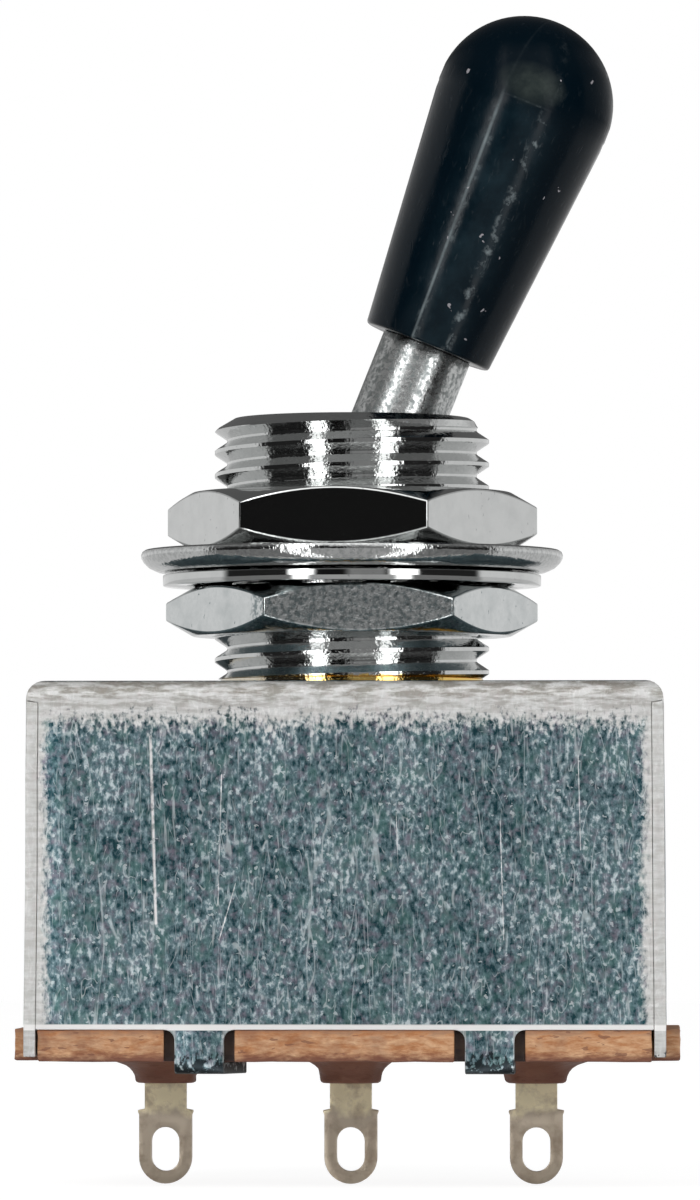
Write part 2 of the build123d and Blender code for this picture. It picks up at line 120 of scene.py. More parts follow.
def finishPiece(bm, name, body, material, nodes, smoothAngle, flatWhere=None):
    bmesh.ops.scale(bm, vec=(mm, mm, mm), verts=bm.verts)
    mesh = bpy.data.meshes.new(name)
    bm.to_mesh(mesh)
    bm.free()
    mesh.materials.append(material)
    mesh.shade_smooth()
    mesh.set_sharp_from_angle(angle=math.radians(smoothAngle))
    for polygon in mesh.polygons:
        if flatWhere and flatWhere(polygon):
            polygon.use_smooth = False
    piece = bpy.data.objects.new(name, mesh)
    bpy.context.scene.collection.objects.link(piece)
    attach(piece, body)
    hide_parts(*nodes)
    print(name, len(mesh.polygons), "faces")


# Shader helpers


def addNode(tree, kind, inputs=None, **settings):
    node = tree.nodes.new(kind)
    for key, value in settings.items():
        setattr(node, key, value)
    for key, value in (inputs or {}).items():
        if isinstance(value, bpy.types.NodeSocket):
            tree.links.new(value, node.inputs[key])
        else:
            node.inputs[key].default_value = value
    return node


def maths(tree, operation, first, second=0.0, clamp=False):
    return addNode(tree, "ShaderNodeMath", {0: first, 1: second}, operation=operation,
                   use_clamp=clamp).outputs[0]


def plus(tree, first, second):
    return maths(tree, "ADD", first, second)


def less(tree, first, second):
    return maths(tree, "SUBTRACT", first, second)


def times(tree, first, second):
    return maths(tree, "MULTIPLY", first, second)


def most(tree, first, second, clamp=False):
    return maths(tree, "MAXIMUM", first, second, clamp)


def absolute(tree, value):
    return maths(tree, "ABSOLUTE", value)


def ranged(tree, value, low, high, toLow=0.0, toHigh=1.0):
    return addNode(tree, "ShaderNodeMapRange", {"Value": value, "From Min": low, "From Max": high,
                                                "To Min": toLow, "To Max": toHigh}).outputs["Result"]


def span(tree, value, limits, toLow=0.0, toHigh=1.0):
    # a range whose limits are in millimetres
    return ranged(tree, value, limits[0] * mm, limits[1] * mm, toLow, toHigh)


def vectorMaths(tree, operation, first, second=None, scale=None):
    inputs = {0: first}
    if second is not None:
        inputs[1] = second
    if scale is not None:
        inputs["Scale"] = scale
    outputs = addNode(tree, "ShaderNodeVectorMath", inputs, operation=operation).outputs
    return outputs["Value" if operation in ("DOT_PRODUCT", "DISTANCE") else "Vector"]


def separate(tree, vector):
    return addNode(tree, "ShaderNodeSeparateXYZ", {0: vector}).outputs


def noiseOf(tree, vector, scale, detail=2.0, roughness=0.5, distortion=0.0, output="Fac"):
    inputs = {"Vector": vector, "Scale": scale, "Detail": detail, "Roughness": roughness,
              "Distortion": distortion}
    return addNode(tree, "ShaderNodeTexNoise", inputs).outputs[output]


def blendColour(tree, factor, first, second):
    node = addNode(tree, "ShaderNodeMix", {"Factor": factor}, data_type="RGBA")
    for index, value in ((6, first), (7, second)):
        if isinstance(value, bpy.types.NodeSocket):
            tree.links.new(value, node.inputs[index])
        else:
            node.inputs[index].default_value = (*value, 1)
    return node.outputs[2]


# Effects that several materials share: each takes a Vector and its own values, and puts out one Mask


def newGroup(name, vectors=(), **values):
    group = bpy.data.node_groups.new(name, "ShaderNodeTree")
    for label in ("Vector", *vectors):
        group.interface.new_socket(name=label, in_out="INPUT", socket_type="NodeSocketVector")
    for label, value in values.items():
        socket = group.interface.new_socket(name=label, in_out="INPUT", socket_type="NodeSocketFloat")
        socket.default_value = value
    group.interface.new_socket(name="Mask", in_out="OUTPUT", socket_type="NodeSocketFloat")
    given = group.nodes.new("NodeGroupInput").outputs
    return group, given, group.nodes.new("NodeGroupOutput").inputs["Mask"]


def effect(tree, group, vector, **values):
    return addNode(tree, "ShaderNodeGroup", {"Vector": vector, **values}, node_tree=group).outputs[0]


def stretched(group, given):
    across = given["Across"]
    stretch = addNode(group, "ShaderNodeCombineXYZ", {0: across, 1: across, 2: given["Along"]})
    return vectorMaths(group, "MULTIPLY", given["Vector"], stretch.outputs[0])


def makeScratches():
    group, given, out = newGroup("fine scratches", Across=4000.0, Along=200.0, Amount=0.5)
    lines = noiseOf(group, stretched(group, given), 1.0, roughness=0.7, distortion=0.5)
    group.links.new(times(group, ranged(group, lines, 0.6, 0.74), given["Amount"]), out)
    return group


def makeCurls():
    # thin curling hairlines, along the edge between two shades of a stretched noise
    group, given, out = newGroup("curling hairlines", Across=1500.0, Along=450.0, Width=0.015)
    scaled = stretched(group, given)
    shade = noiseOf(group, scaled, 1.0, 1.5, distortion=1.2)
    away = absolute(group, less(group, shade, 0.5))
    line = ranged(group, maths(group, "DIVIDE", away, given["Width"]), 0.3, 1.0, 1.0, 0.0)
    broken = ranged(group, noiseOf(group, scaled, 1.7), 0.47, 0.58)
    group.links.new(times(group, line, broken), out)
    return group


def makeSpecks():
    # a little noise in the places keeps the specks from being round
    group, given, out = newGroup("specks", Scale=2000.0, Size=0.2, Share=0.3)
    vector, scale = given["Vector"], given["Scale"]
    ragged = noiseOf(group, vector, times(group, scale, 2.0), 1.0, output="Color")
    moved = vectorMaths(group, "SCALE", ragged, scale=maths(group, "DIVIDE", 0.9, scale))
    place = vectorMaths(group, "ADD", vector, moved)
    cells = addNode(group, "ShaderNodeTexVoronoi", {"Vector": place, "Scale": scale}).outputs
    near = maths(group, "LESS_THAN", cells["Distance"], given["Size"])
    picked = addNode(group, "ShaderNodeSeparateColor", {0: cells["Color"]}).outputs[0]
    group.links.new(times(group, near, maths(group, "LESS_THAN", picked, given["Share"])), out)
    return group


def makeMottle():
    group, given, out = newGroup("mottle", Scale=1000.0, Detail=4.0, Low=0.35, High=0.65)
    clouds = noiseOf(group, given["Vector"], given["Scale"], given["Detail"], 0.6)
    group.links.new(ranged(group, clouds, given["Low"], given["High"]), out)
    return group


def makeStroke():
    # one long scratch from Start to End, in metres
    group, given, out = newGroup("single scratch", ("Start", "End"), Width=0.00006)
    run = vectorMaths(group, "SUBTRACT", given["End"], given["Start"])
    reach = vectorMaths(group, "SUBTRACT", given["Vector"], given["Start"])
    along = vectorMaths(group, "DOT_PRODUCT", reach, run)
    whole = vectorMaths(group, "DOT_PRODUCT", run, run)
    share = maths(group, "DIVIDE", along, whole, clamp=True)
    away = vectorMaths(group, "DISTANCE", reach, vectorMaths(group, "SCALE", run, scale=share))
    edge = maths(group, "DIVIDE", away, given["Width"])
    group.links.new(ranged(group, edge, 0.5, 1.2, 1.0, 0.0), out)
    return group


scratches = makeScratches()
curls = makeCurls()
specks = makeSpecks()
mottle = makeMottle()
stroke = makeStroke()


def mottled(tree, vector, settings):
    scale, detail, low, high = settings
    return effect(tree, mottle, vector, Scale=scale, Detail=detail, Low=low, High=high)


def specked(tree, vector, settings):
    scale, speckSize, share = settings
    return effect(tree, specks, vector, Scale=scale, Size=speckSize, Share=share)


def scratched(tree, vector, settings):
    across, along, amount = settings
    return effect(tree, scratches, vector, Across=across, Along=along, Amount=amount)


def curled(tree, vector, settings):
    across, along, width = settings
    return effect(tree, curls, vector, Across=across, Along=along, Width=width)


def newMaterial(name, **plain):
    # a material with its shader, and the plain values set on the shader's own sockets
    material = bpy.data.materials.new(name)
    material.use_nodes = True
    tree = material.node_tree
    shader = tree.nodes["Principled BSDF"]
    for label, value in plain.items():
        shader.inputs[label.replace("_", " ")].default_value = value
    return material, tree, shader, addNode(tree, "ShaderNodeTexCoord").outputs["Object"]


def finishMaterial(tree, shader, base, roughness, height, strength, depth=0.02):
    # depth of the bump is in millimetres
    bump = addNode(tree, "ShaderNodeBump", {"Height": height, "Strength": strength, "Distance": depth * mm})
    for value, label in ((base, "Base Color"), (roughness, "Roughness"), (bump.outputs[0], "Normal")):
        tree.links.new(value, shader.inputs[label])


# Noise settings are scale, detail, low and high; speck settings are scale, size and share
plating = {
    "bright": (0.62, 0.63, 0.625), "dull": (0.42, 0.43, 0.43), "clouds": (900.0, 5.0, 0.42, 0.72),
    "pits": (3600.0, 0.22, 0.16), "sand": (4800.0, 3.0, 0.4, 0.62), "cloudShare": 0.3, "pitShare": 0.7,
    "pitDepth": 0.4, "fineScale": 5200.0, "smoothSide": 0.12, "sandedEdge": 0.2,
    "brass": (0.80, 0.56, 0.18), "brassEdge": 0.08, "brassWander": 0.04, "brassSide": (-4.0, -1.0),
    "brassLeft": 0.25,
}


def nickelPlate(name, bright=plating["bright"], dull=plating["dull"], smooth=0.05, rough=0.16, grain=0.12,
                speckle=0.0, brassFoot=None, sandedFace=None):
    material, tree, shader, coords = newMaterial(name, Metallic=1.0)
    parts = separate(tree, coords)
    clouds = times(tree, mottled(tree, coords, plating["clouds"]), plating["cloudShare"])
    pits = specked(tree, coords, plating["pits"])
    sand = mottled(tree, coords, plating["sand"])
    sanded = 1.0
    if sandedFace:
        # only the front and rear flats are sanded, the other flats stay smooth
        limits = (sandedFace, sandedFace + plating["sandedEdge"])
        sanded = span(tree, absolute(tree, parts["Y"]), limits, plating["smoothSide"], 1.0)
        sand = times(tree, sand, sanded)
    worn = most(tree, clouds, times(tree, pits, plating["pitShare"]), clamp=True)
    worn = most(tree, worn, times(tree, sand, speckle), clamp=True)
    base = blendColour(tree, worn, bright, dull)
    if brassFoot:
        # the plating is rubbed through to brass round the collar
        wander = plating["brassWander"] * mm
        level = plus(tree, parts["Z"], ranged(tree, sand, 0.0, 1.0, -wander, wander))
        foot = span(tree, level, (brassFoot, brassFoot + plating["brassEdge"]), 1.0, 0.0)
        side = span(tree, parts["X"], plating["brassSide"], plating["brassLeft"], 1.0)
        base = blendColour(tree, times(tree, foot, side), base, plating["brass"])
    height = less(tree, noiseOf(tree, coords, plating["fineScale"]), times(tree, pits, plating["pitDepth"]))
    finishMaterial(tree, shader, base, ranged(tree, worn, 0.0, 1.0, smooth, rough),
                   times(tree, height, sanded), grain)
    return material


def plainMetal(name, colour, roughness, grain=0.2):
    material, tree, shader, coords = newMaterial(name, Metallic=1.0)
    clouds = mottled(tree, coords, (700.0, 4.0, 0.3, 0.7))
    darker = tuple(part * 0.7 for part in colour)
    finishMaterial(tree, shader, blendColour(tree, clouds, darker, colour),
                   ranged(tree, clouds, 0.0, 1.0, roughness * 0.8, roughness * 1.25), clouds, grain)
    return material


print("shared effects ready")

# Folded steel can

can = {
    "length": 27.0034, "depth": 16.5, "height": 14.8, "sheet": 0.5, "topRadius": 0.75, "flare": 0.1,
    "holeRadius": 6.05, "holeBand": 0.3, "seamGap": 0.014, "seamTop": -0.95, "edge": 0.05,
    "tabSpacing": 12.3, "tabWidth": 2.1, "tabFillet": 0.45, "tabDrop": 1.88, "tabReach": 2.6, "skew": 0.85,
    "legDepth": 2.72, "legDrop": 1.15, "bend": 0.6,
    "cutsX": [-11.5, -9.5, -3.0, -1.0, 1.0, 3.0, 9.5, 11.5], "cutY": 2.5,
    "cutsZ": [-2.2, -4.2, -6.3, -8.4, -10.5, -12.6, -14.2],
    "waveScale": (0.16, 0.2), "waveLevels": (-14.0, -1.0), "waveFront": 0.035, "waveEnd": 0.03,
    "waveStart": 3.7, "wallBand": 0.8, "flareFrom": 12.5, "sideWander": (0.4, 0.6),
    "dark": (0.022, 0.066, 0.082), "middle": (0.20, 0.30, 0.335), "light": (0.74, 0.81, 0.83),
    "violet": (0.31, 0.26, 0.33), "green": (0.12, 0.25, 0.23), "frosted": (0.74, 0.72, 0.70),
    "beige": (0.33, 0.295, 0.255), "scratchTint": (0.9, 0.88, 0.87),
    "bendShade": (0.030, 0.038, 0.043), "rimHighlight": (0.84, 0.83, 0.82),
    "upright": (1.0, 1.0, 0.65), "broad": (420.0, 5.0, 0.34, 0.66), "grain": (4600.0, 4.0, 0.36, 0.64),
    "hue": (2400.0, 3.0, 0.5, 0.7), "moss": (1500.0, 2.0, 0.5, 0.68), "flecks": (3600.0, 0.3, 0.16),
    "lines": (5200.0, 700.0, 0.55), "hairs": (1500.0, 520.0, 0.02), "shafts": (700.0, 90.0, 0.008),
    "broadShare": 0.32, "hueShare": 0.6, "mossShare": 0.5, "fleckShare": 0.6, "curlShare": 0.5,
    "toneMiddle": (0.2, 0.72), "toneLight": (0.68, 0.95, 0.0, 0.75),
    # places of the frosted bands and of the painted edge highlights, in millimetres
    "shift": 0.5, "drift": 0.3, "topBand": (-2.1, -1.4), "topEdge": -0.04, "sideBand": (12.45, 12.85),
    "frontFrom": 7.8, "footHighlight": (-14.62, -14.55), "wallEnd": -14.83, "tabHighlight": (0.98, 1.02),
    "tabHighlightShare": 0.4, "frostShare": 0.8,
    "alongFold": (0.3, 0.3, 1.5), "streaks": (2800.0, 5.0, 0.42, 0.58), "stained": (-1.4, -0.5),
    "stainLow": 0.3, "bendShadeBand": (-16.25, -16.0), "bendShadeShare": 0.95,
    "brokenBy": (0.1, 0.6, 0.35, 0.9), "roughness": (0.1, 0.95, 0.36, 0.5), "frostRoughness": 0.12,
    "frostMetallic": 0.25, "grainDepth": 0.6, "bump": 0.3,
    # long scratches on the front wall: start, end and width
    "strokes": [((-8.22, -2.4), (-7.98, -10.3), 0.07), ((-5.2, -4.0), (-5.35, -9.5), 0.03),
                ((6.6, -6.0), (6.75, -11.0), 0.018), ((-4.6, -8.6), (-5.3, -11.0), 0.025),
                ((9.9, -3.2), (10.0, -7.2), 0.016), ((2.2, -5.6), (2.35, -9.9), 0.016)],
}


def zincSteel():
    material, tree, shader, coords = newMaterial("zincSteel")
    parts = separate(tree, coords)
    upright = vectorMaths(tree, "MULTIPLY", coords, can["upright"])
    broad = mottled(tree, upright, can["broad"])
    grain = mottled(tree, upright, can["grain"])
    tone = plus(tree, times(tree, broad, can["broadShare"]), times(tree, grain, 1 - can["broadShare"]))
    base = blendColour(tree, ranged(tree, tone, *can["toneMiddle"]), can["dark"], can["middle"])
    hue = times(tree, mottled(tree, coords, can["hue"]), can["hueShare"])
    base = blendColour(tree, hue, base, can["violet"])
    moss = times(tree, mottled(tree, upright, can["moss"]), can["mossShare"])
    base = blendColour(tree, moss, base, can["green"])
    base = blendColour(tree, ranged(tree, tone, *can["toneLight"]), base, can["light"])
    flecks = times(tree, specked(tree, coords, can["flecks"]), can["fleckShare"])
    curly = most(tree, curled(tree, coords, can["hairs"]), curled(tree, coords, can["shafts"]))
    lines = most(tree, scratched(tree, coords, can["lines"]), times(tree, curly, can["curlShare"]))
    base = blendColour(tree, most(tree, flecks, lines, clamp=True), base, can["light"])
    # frosted along the top fold and the corners; along the lower edge and down the tab sides a painted
    # highlight stands in for light caught on the sheet's edges
    shift = ranged(tree, grain, 0.0, 1.0, -can["shift"] * mm, can["shift"] * mm)
    drift = ranged(tree, broad, 0.0, 1.0, -can["drift"] * mm, can["drift"] * mm)
    aside = absolute(tree, parts["X"])
    topBand = span(tree, plus(tree, parts["Z"], plus(tree, shift, drift)), can["topBand"])
    belowTop = maths(tree, "LESS_THAN", parts["Z"], can["topEdge"] * mm)
    byShift, byDrift = can["sideWander"]
    reach = plus(tree, plus(tree, aside, times(tree, shift, byShift)), times(tree, drift, byDrift))
    onFront = maths(tree, "GREATER_THAN", absolute(tree, parts["Y"]), can["frontFrom"] * mm)
    sideBand = times(tree, span(tree, reach, can["sideBand"]), onFront)
    onWall = maths(tree, "GREATER_THAN", parts["Z"], can["wallEnd"] * mm)
    footHighlight = times(tree, span(tree, parts["Z"], can["footHighlight"], 1.0, 0.0), onWall)
    # painted highlight down both sides of each tab, below the wall
    tabHighlight = absolute(tree, less(tree, aside, can["tabSpacing"] / 2 * mm))
    tabHighlight = span(tree, tabHighlight, can["tabHighlight"], 0.0, can["tabHighlightShare"])
    tabHighlight = times(tree, tabHighlight, less(tree, 1.0, onWall))
    frost = times(tree, times(tree, most(tree, topBand, sideBand), belowTop), can["frostShare"])
    frost = most(tree, frost, most(tree, footHighlight, tabHighlight), clamp=True)
    # the fold is stained beige in streaks that run along it
    streaks = mottled(tree, vectorMaths(tree, "MULTIPLY", coords, can["alongFold"]), can["streaks"])
    foldStain = times(tree, span(tree, parts["Z"], can["stained"], can["stainLow"], 1.0), streaks)
    base = blendColour(tree, frost, base, blendColour(tree, foldStain, can["frosted"], can["beige"]))
    # painted highlight: the lower edge of the walls is lightened to near white
    base = blendColour(tree, footHighlight, base, can["rimHighlight"])
    # painted shade: the tabs darken to a smooth slate colour round their bend under the board
    bendShade = span(tree, plus(tree, parts["Z"], shift), can["bendShadeBand"], 1.0, 0.0)
    base = blendColour(tree, times(tree, bendShade, can["bendShadeShare"]), base, can["bendShade"])
    marks = 0.0
    for start, end, width in can["strokes"]:
        start, end = ((x * mm, -can["depth"] / 2 * mm, z * mm) for x, z in (start, end))
        marks = most(tree, effect(tree, stroke, coords, Start=start, End=end, Width=width * mm), marks)
    broken = times(tree, marks, ranged(tree, grain, *can["brokenBy"]))
    base = blendColour(tree, broken, base, can["scratchTint"])
    tree.links.new(ranged(tree, frost, 0.0, 1.0, 1.0, can["frostMetallic"]), shader.inputs["Metallic"])
    roughness = plus(tree, ranged(tree, tone, *can["roughness"]), times(tree, frost, can["frostRoughness"]))
    height = less(tree, times(tree, grain, can["grainDepth"]), marks)
    finishMaterial(tree, shader, base, roughness, height, can["bump"])
    return material


def quarterTurn(steps=5):
    # sine and cosine of the steps of a bend through a right angle
    for step in range(1, steps + 1):
        turn = math.pi / 2 * step / steps
        yield math.sin(turn), math.cos(turn)


def makeTab(bm, sideX, sideY, half, tabHalf):
    # one tab, rounded in at the root and bent under the board; the front left one is bent askew
    foot, bend, fillet = -can["height"], can["bend"], can["tabFillet"]
    centre, low = sideX * can["tabSpacing"] / 2, foot - can["tabDrop"]
    edges = openEdges(bm, lambda spot: abs(spot.z - foot) < 0.01 and abs(spot.y - sideY * half.y) < 0.01
                      and abs(spot.x - centre) < tabHalf + 0.01)
    path = [(fillet * (1 - sine), half.y, foot - fillet * (1 - cosine)) for sine, cosine in quarterTurn()]
    path.append((0.0, half.y, low + bend))
    path += [(0.0, half.y - bend * (1 - cosine), low + bend * (1 - sine)) for sine, cosine in quarterTurn()]
    path.append((0.0, half.y - can["tabReach"], low))
    for index, (widen, y, z) in enumerate(path):
        made = bmesh.ops.extrude_edge_only(bm, edges=edges)["geom"]
        verts = vertsOf(made)
        edges = edgesAmong(made, verts)
        askew = sideX < 0 and sideY < 0 and index == len(path) - 1
        lowX = min(vert.co.x for vert in verts)
        spanX = max(vert.co.x for vert in verts) - lowX
        width = can["tabWidth"] / 2 + widen
        for vert in verts:
            share = (vert.co.x - lowX) / spanX
            x = centre - width + 2 * width * share + (can["skew"] if askew else 0.0)
            vert.co = (x, sideY * y, z)


def makeCan():
    bm = bmesh.new()
    half = Vector((can["length"] / 2, can["depth"] / 2, can["height"]))
    bmesh.ops.create_cube(bm, size=2)
    bmesh.ops.scale(bm, vec=(half.x, half.y, half.z / 2), verts=bm.verts)
    bmesh.ops.translate(bm, vec=(0, 0, -half.z / 2), verts=bm.verts)
    floorFace = min(bm.faces, key=lambda face: face.calc_center_median().z)
    bmesh.ops.delete(bm, geom=[floorFace], context="FACES_ONLY")
    topEdges = [edge for edge in bm.edges if all(vert.co.z > -0.01 for vert in edge.verts)]
    roundOff(bm, topEdges, can["topRadius"], 6)
    # cuts across, down and along the walls: places for the tabs, the legs and the sheet's waviness
    tabHalf = can["tabWidth"] / 2 + can["tabFillet"]
    legSide = can["depth"] / 2 - can["legDepth"]
    tabSides = sorted(side * can["tabSpacing"] / 2 + out * tabHalf for side in (-1, 1) for out in (-1, 1))
    cutAcross(bm, "x", tabSides + can["cutsX"])
    cutAcross(bm, "y", (-legSide, -can["cutY"], 0.0, can["cutY"], legSide))
    cutAcross(bm, "z", [can["seamTop"] + 0.1, can["seamTop"]] + can["cutsZ"])
    # round hole for the bushing: the top face is cut out and filled in again round a circle
    bandRadius = can["holeRadius"] + can["holeBand"]
    topFaces = [face for face in bm.faces if face.calc_center_median().z > -0.001
                and min(vert.co.xy.length for vert in face.verts) < bandRadius]
    bmesh.ops.delete(bm, geom=topFaces, context="FACES")
    rim = openEdges(bm, lambda spot: spot.z > -0.001)
    holeEdges = startRing(bm, lambda angle: (can["holeRadius"], 0.0), 96)
    bandEdges = nextRing(bm, holeEdges, lambda angle: (bandRadius, 0.0))
    bmesh.ops.triangle_fill(bm, use_beauty=True, use_dissolve=False, edges=rim + bandEdges,
                            normal=(0, 0, 1))
    # legs of the end walls
    foot = -can["height"]
    legs = openEdges(bm, lambda spot: spot.z < foot + 0.01 and abs(abs(spot.x) - half.x) < 0.01
                     and abs(spot.y) > legSide - 0.01)
    legVerts = vertsOf(bmesh.ops.extrude_edge_only(bm, edges=legs)["geom"])
    bmesh.ops.translate(bm, vec=(0, 0, -can["legDrop"]), verts=legVerts)
    for sideX in (-1, 1):
        for sideY in (-1, 1):
            makeTab(bm, sideX, sideY, half, tabHalf)
    weld(bm)

    def atCorner(spot):
        return abs(abs(spot.x) - half.x) < 0.01 and abs(abs(spot.y) - half.y) < 0.01

    seams = [edge for edge in bm.edges if len(edge.link_faces) == 2
             and all(atCorner(vert.co) and vert.co.z < can["seamTop"] + 0.11 for vert in edge.verts)]
    bmesh.ops.split_edges(bm, edges=seams)
    # front and rear walls stop short of the end walls
    for vert in bm.verts:
        facing = all(abs(face.normal.y) > 0.9 for face in vert.link_faces)
        if atCorner(vert.co) and facing and vert.co.z < can["seamTop"] + 0.01:
            vert.co.x -= math.copysign(can["sheet"] + can["seamGap"], vert.co.x)
    bm.normal_update()
    for face in bm.faces:
        if face.normal.z < -0.9 and face.calc_center_median().z > -0.01:
            face.normal_flip()
    bm.normal_update()
    # the sheet gets its thickness inwards, then soft edges, waviness and a slight flare to the foot
    bmesh.ops.solidify(bm, geom=bm.faces[:], thickness=can["sheet"])
    bmesh.ops.recalc_face_normals(bm, faces=bm.faces)
    soften(bm, can["edge"], 50)
    across, down = can["waveScale"]
    low, high = can["waveLevels"]
    for vert in bm.verts:
        if abs(vert.co.x) > can["flareFrom"]:
            depth = min(1.0, max(0.0, -vert.co.z / can["height"]))
            vert.co.x += math.copysign(can["flare"] * depth, vert.co.x)
        wave = noiseAt(vert.co.x * across, vert.co.z * down, vert.co.y * across + can["waveStart"])
        if low < vert.co.z < high and abs(vert.co.y) > half.y - can["wallBand"]:
            vert.co.y += can["waveFront"] * wave
        if low < vert.co.z < high and abs(vert.co.x) > half.x - can["wallBand"]:
            vert.co.x += can["waveEnd"] * wave
    finishPiece(bm, "canShell", "body", zincSteel(), ["housing"], 35)


makeCan()

# Threaded bushing with its collar and flange

bushing = {
    "pitch": 1.0, "majorRadius": 5.95, "rootRadius": 5.42, "crestAtLeft": 0.05, "crestFlat": 0.16,
    "rootFlat": 0.1, "crestEdge": (0.04, 0.05), "rootEdge": 0.05, "turns": (-2, 14), "threadLow": 0.25,
    "rim": 11.55, "rimRadius": 5.1, "rimChamfer": 0.5, "rimZone": 1.2, "leastRadius": 4.0, "steps": 144,
    "inside": [(4.62, 11.55), (4.5, 11.44), (4.42, 11.3), (3.14, 8.25), (3.1, 8.1), (3.1, 2.37),
               (4.97, 0.25), (4.97, -2.3), (5.52, -2.3), (5.52, -1.5), (6.85, -1.5), (6.9, -1.45),
               (6.9, -0.5), (5.7, -0.5), (5.7, 0.22), (5.67, 0.25)],
}


def makeBushing():
    bm = bmesh.new()
    pitch, steps, rim, low = (bushing[key] for key in ("pitch", "steps", "rim", "threadLow"))
    crest, root = bushing["crestFlat"] / 2, bushing["rootFlat"] / 2
    major, minor = bushing["majorRadius"], bushing["rootRadius"]
    (outAside, outDown), inside = bushing["crestEdge"], bushing["rootEdge"]
    oneTurn = [(-crest - outAside, major - outDown), (-crest, major), (crest, major),
               (crest + outAside, major - outDown), (pitch / 2 - root - inside, minor + inside),
               (pitch / 2 - root, minor), (pitch / 2 + root, minor),
               (pitch / 2 + root + inside, minor + inside)]
    profile = [(radius, turn * pitch + bushing["crestAtLeft"] + pitch / 2 + rise)
               for turn in range(*bushing["turns"]) for rise, radius in oneTurn]
    lathe(bm, profile, steps, pitch / steps, merge=False)
    bmesh.ops.remove_doubles(bm, verts=bm.verts, dist=0.002)
    slope = (major - bushing["rimRadius"]) / bushing["rimChamfer"]
    for vert in bm.verts:
        limit = bushing["rimRadius"] + (rim - vert.co.z) * slope
        radius = vert.co.xy.length
        if radius > limit and vert.co.z > rim - bushing["rimZone"]:
            shrink = max(limit, bushing["leastRadius"]) / radius
            vert.co.x *= shrink
            vert.co.y *= shrink
    for height, upward in ((rim, 1), (low, -1)):
        cut(bm, (0, 0, height), (0, 0, upward), clearOuter=True, dist=1e-5)
    loop = openEdges(bm, lambda spot: spot.z > rim - 0.01)
    bottom = openEdges(bm, lambda spot: spot.z < low + 0.01)
    for radius, height in bushing["inside"]:
        loop = nextRing(bm, loop, lambda angle: (radius, height))
    bmesh.ops.bridge_loops(bm, edges=loop + bottom)
    bmesh.ops.recalc_face_normals(bm, faces=bm.faces)
    nickel = nickelPlate("nickelThread", grain=0.6, speckle=0.25, brassFoot=0.27)
    finishPiece(bm, "threadedBushing", "body", nickel, ["bushing"], 30)


makeBushing()

# Hexagon nuts

nickelFlats = nickelPlate("nickelFlats", smooth=0.05, rough=0.12, grain=0.03)
nickelGrainy = nickelPlate("nickelGrainy", bright=(0.66, 0.68, 0.68), dull=(0.13, 0.18, 0.19), smooth=0.08,
                           rough=0.22, grain=0.9, speckle=0.8, sandedFace=6.4)
nuts = {
    "lowerNut": {"seat": 2.1, "height": 2.1, "turn": 4.5, "node": "lower_nut", "finish": nickelGrainy},
    "upperNut": {"seat": 5.83, "height": 2.5, "turn": -4.3, "node": "upper_nut", "finish": nickelFlats},
}
nutShape = {"apothem": 7.0, "faceRadius": 6.9, "boreRadius": 6.02, "chamferAngle": 30, "edge": 0.09,
            "flatFrom": 6.5, "leastFlat": 0.2}


def isFlat(polygon):
    # the six sides and the two faces stay dead flat, the chamfers and the softened edges are shaded round
    upright = abs(polygon.normal.z)
    outside = polygon.center.xy.length > nutShape["flatFrom"] * mm
    wide = polygon.area > nutShape["leastFlat"] * mm ** 2
    return upright > 0.999 or (upright < 0.01 and outside and wide)


def makeNut(name, nut):
    bm = bmesh.new()
    seat, top, turn = nut["seat"], nut["seat"] + nut["height"], math.radians(nut["turn"])
    face, bore = nutShape["faceRadius"], nutShape["boreRadius"]
    fall = math.tan(math.radians(nutShape["chamferAngle"]))

    def hexRadius(angle):
        return nutShape["apothem"] / math.cos((angle - turn) % (math.pi / 3) - math.pi / 6)

    rings = [lambda angle: (bore, top), lambda angle: (face, top),
             lambda angle: (hexRadius(angle), top - (hexRadius(angle) - face) * fall),
             lambda angle: (hexRadius(angle), seat + (hexRadius(angle) - face) * fall),
             lambda angle: (face, seat), lambda angle: (bore, seat)]
    loop = startRing(bm, rings[-1], 96, turn)
    for ring in rings:
        loop = nextRing(bm, loop, ring)
    weld(bm)
    soften(bm, nutShape["edge"], 20)
    finishPiece(bm, name, "body", nut["finish"], [nut["node"]], 32, isFlat)


for nutName, nut in nuts.items():
    makeNut(nutName, nut)

# Dress washer and toothed lock washer

washers = {
    "dress": [(6.1, 4.83), (8.05, 4.83), (8.45, 4.9), (8.8, 5.06), (9.03, 5.28), (9.14, 5.48),
              (9.15, 5.62), (9.09, 5.76), (8.97, 5.83), (6.1, 5.83), (6.1, 4.83)],
    "ringOuter": 8.2, "ringInner": 7.2, "ringLow": 4.28, "ringHigh": 4.75, "toothTip": 6.12, "teeth": 10,
    "toothTwist": 12, "toothShare": 0.3, "edge": 0.04,
}


def makeDressWasher():
    bm = bmesh.new()
    lathe(bm, washers["dress"], 128)
    weld(bm)
    nickel = nickelPlate("nickelWasher", grain=0.8, speckle=0.75)
    finishPiece(bm, "dressWasher", "body", nickel, ["dress_washer"], 30)


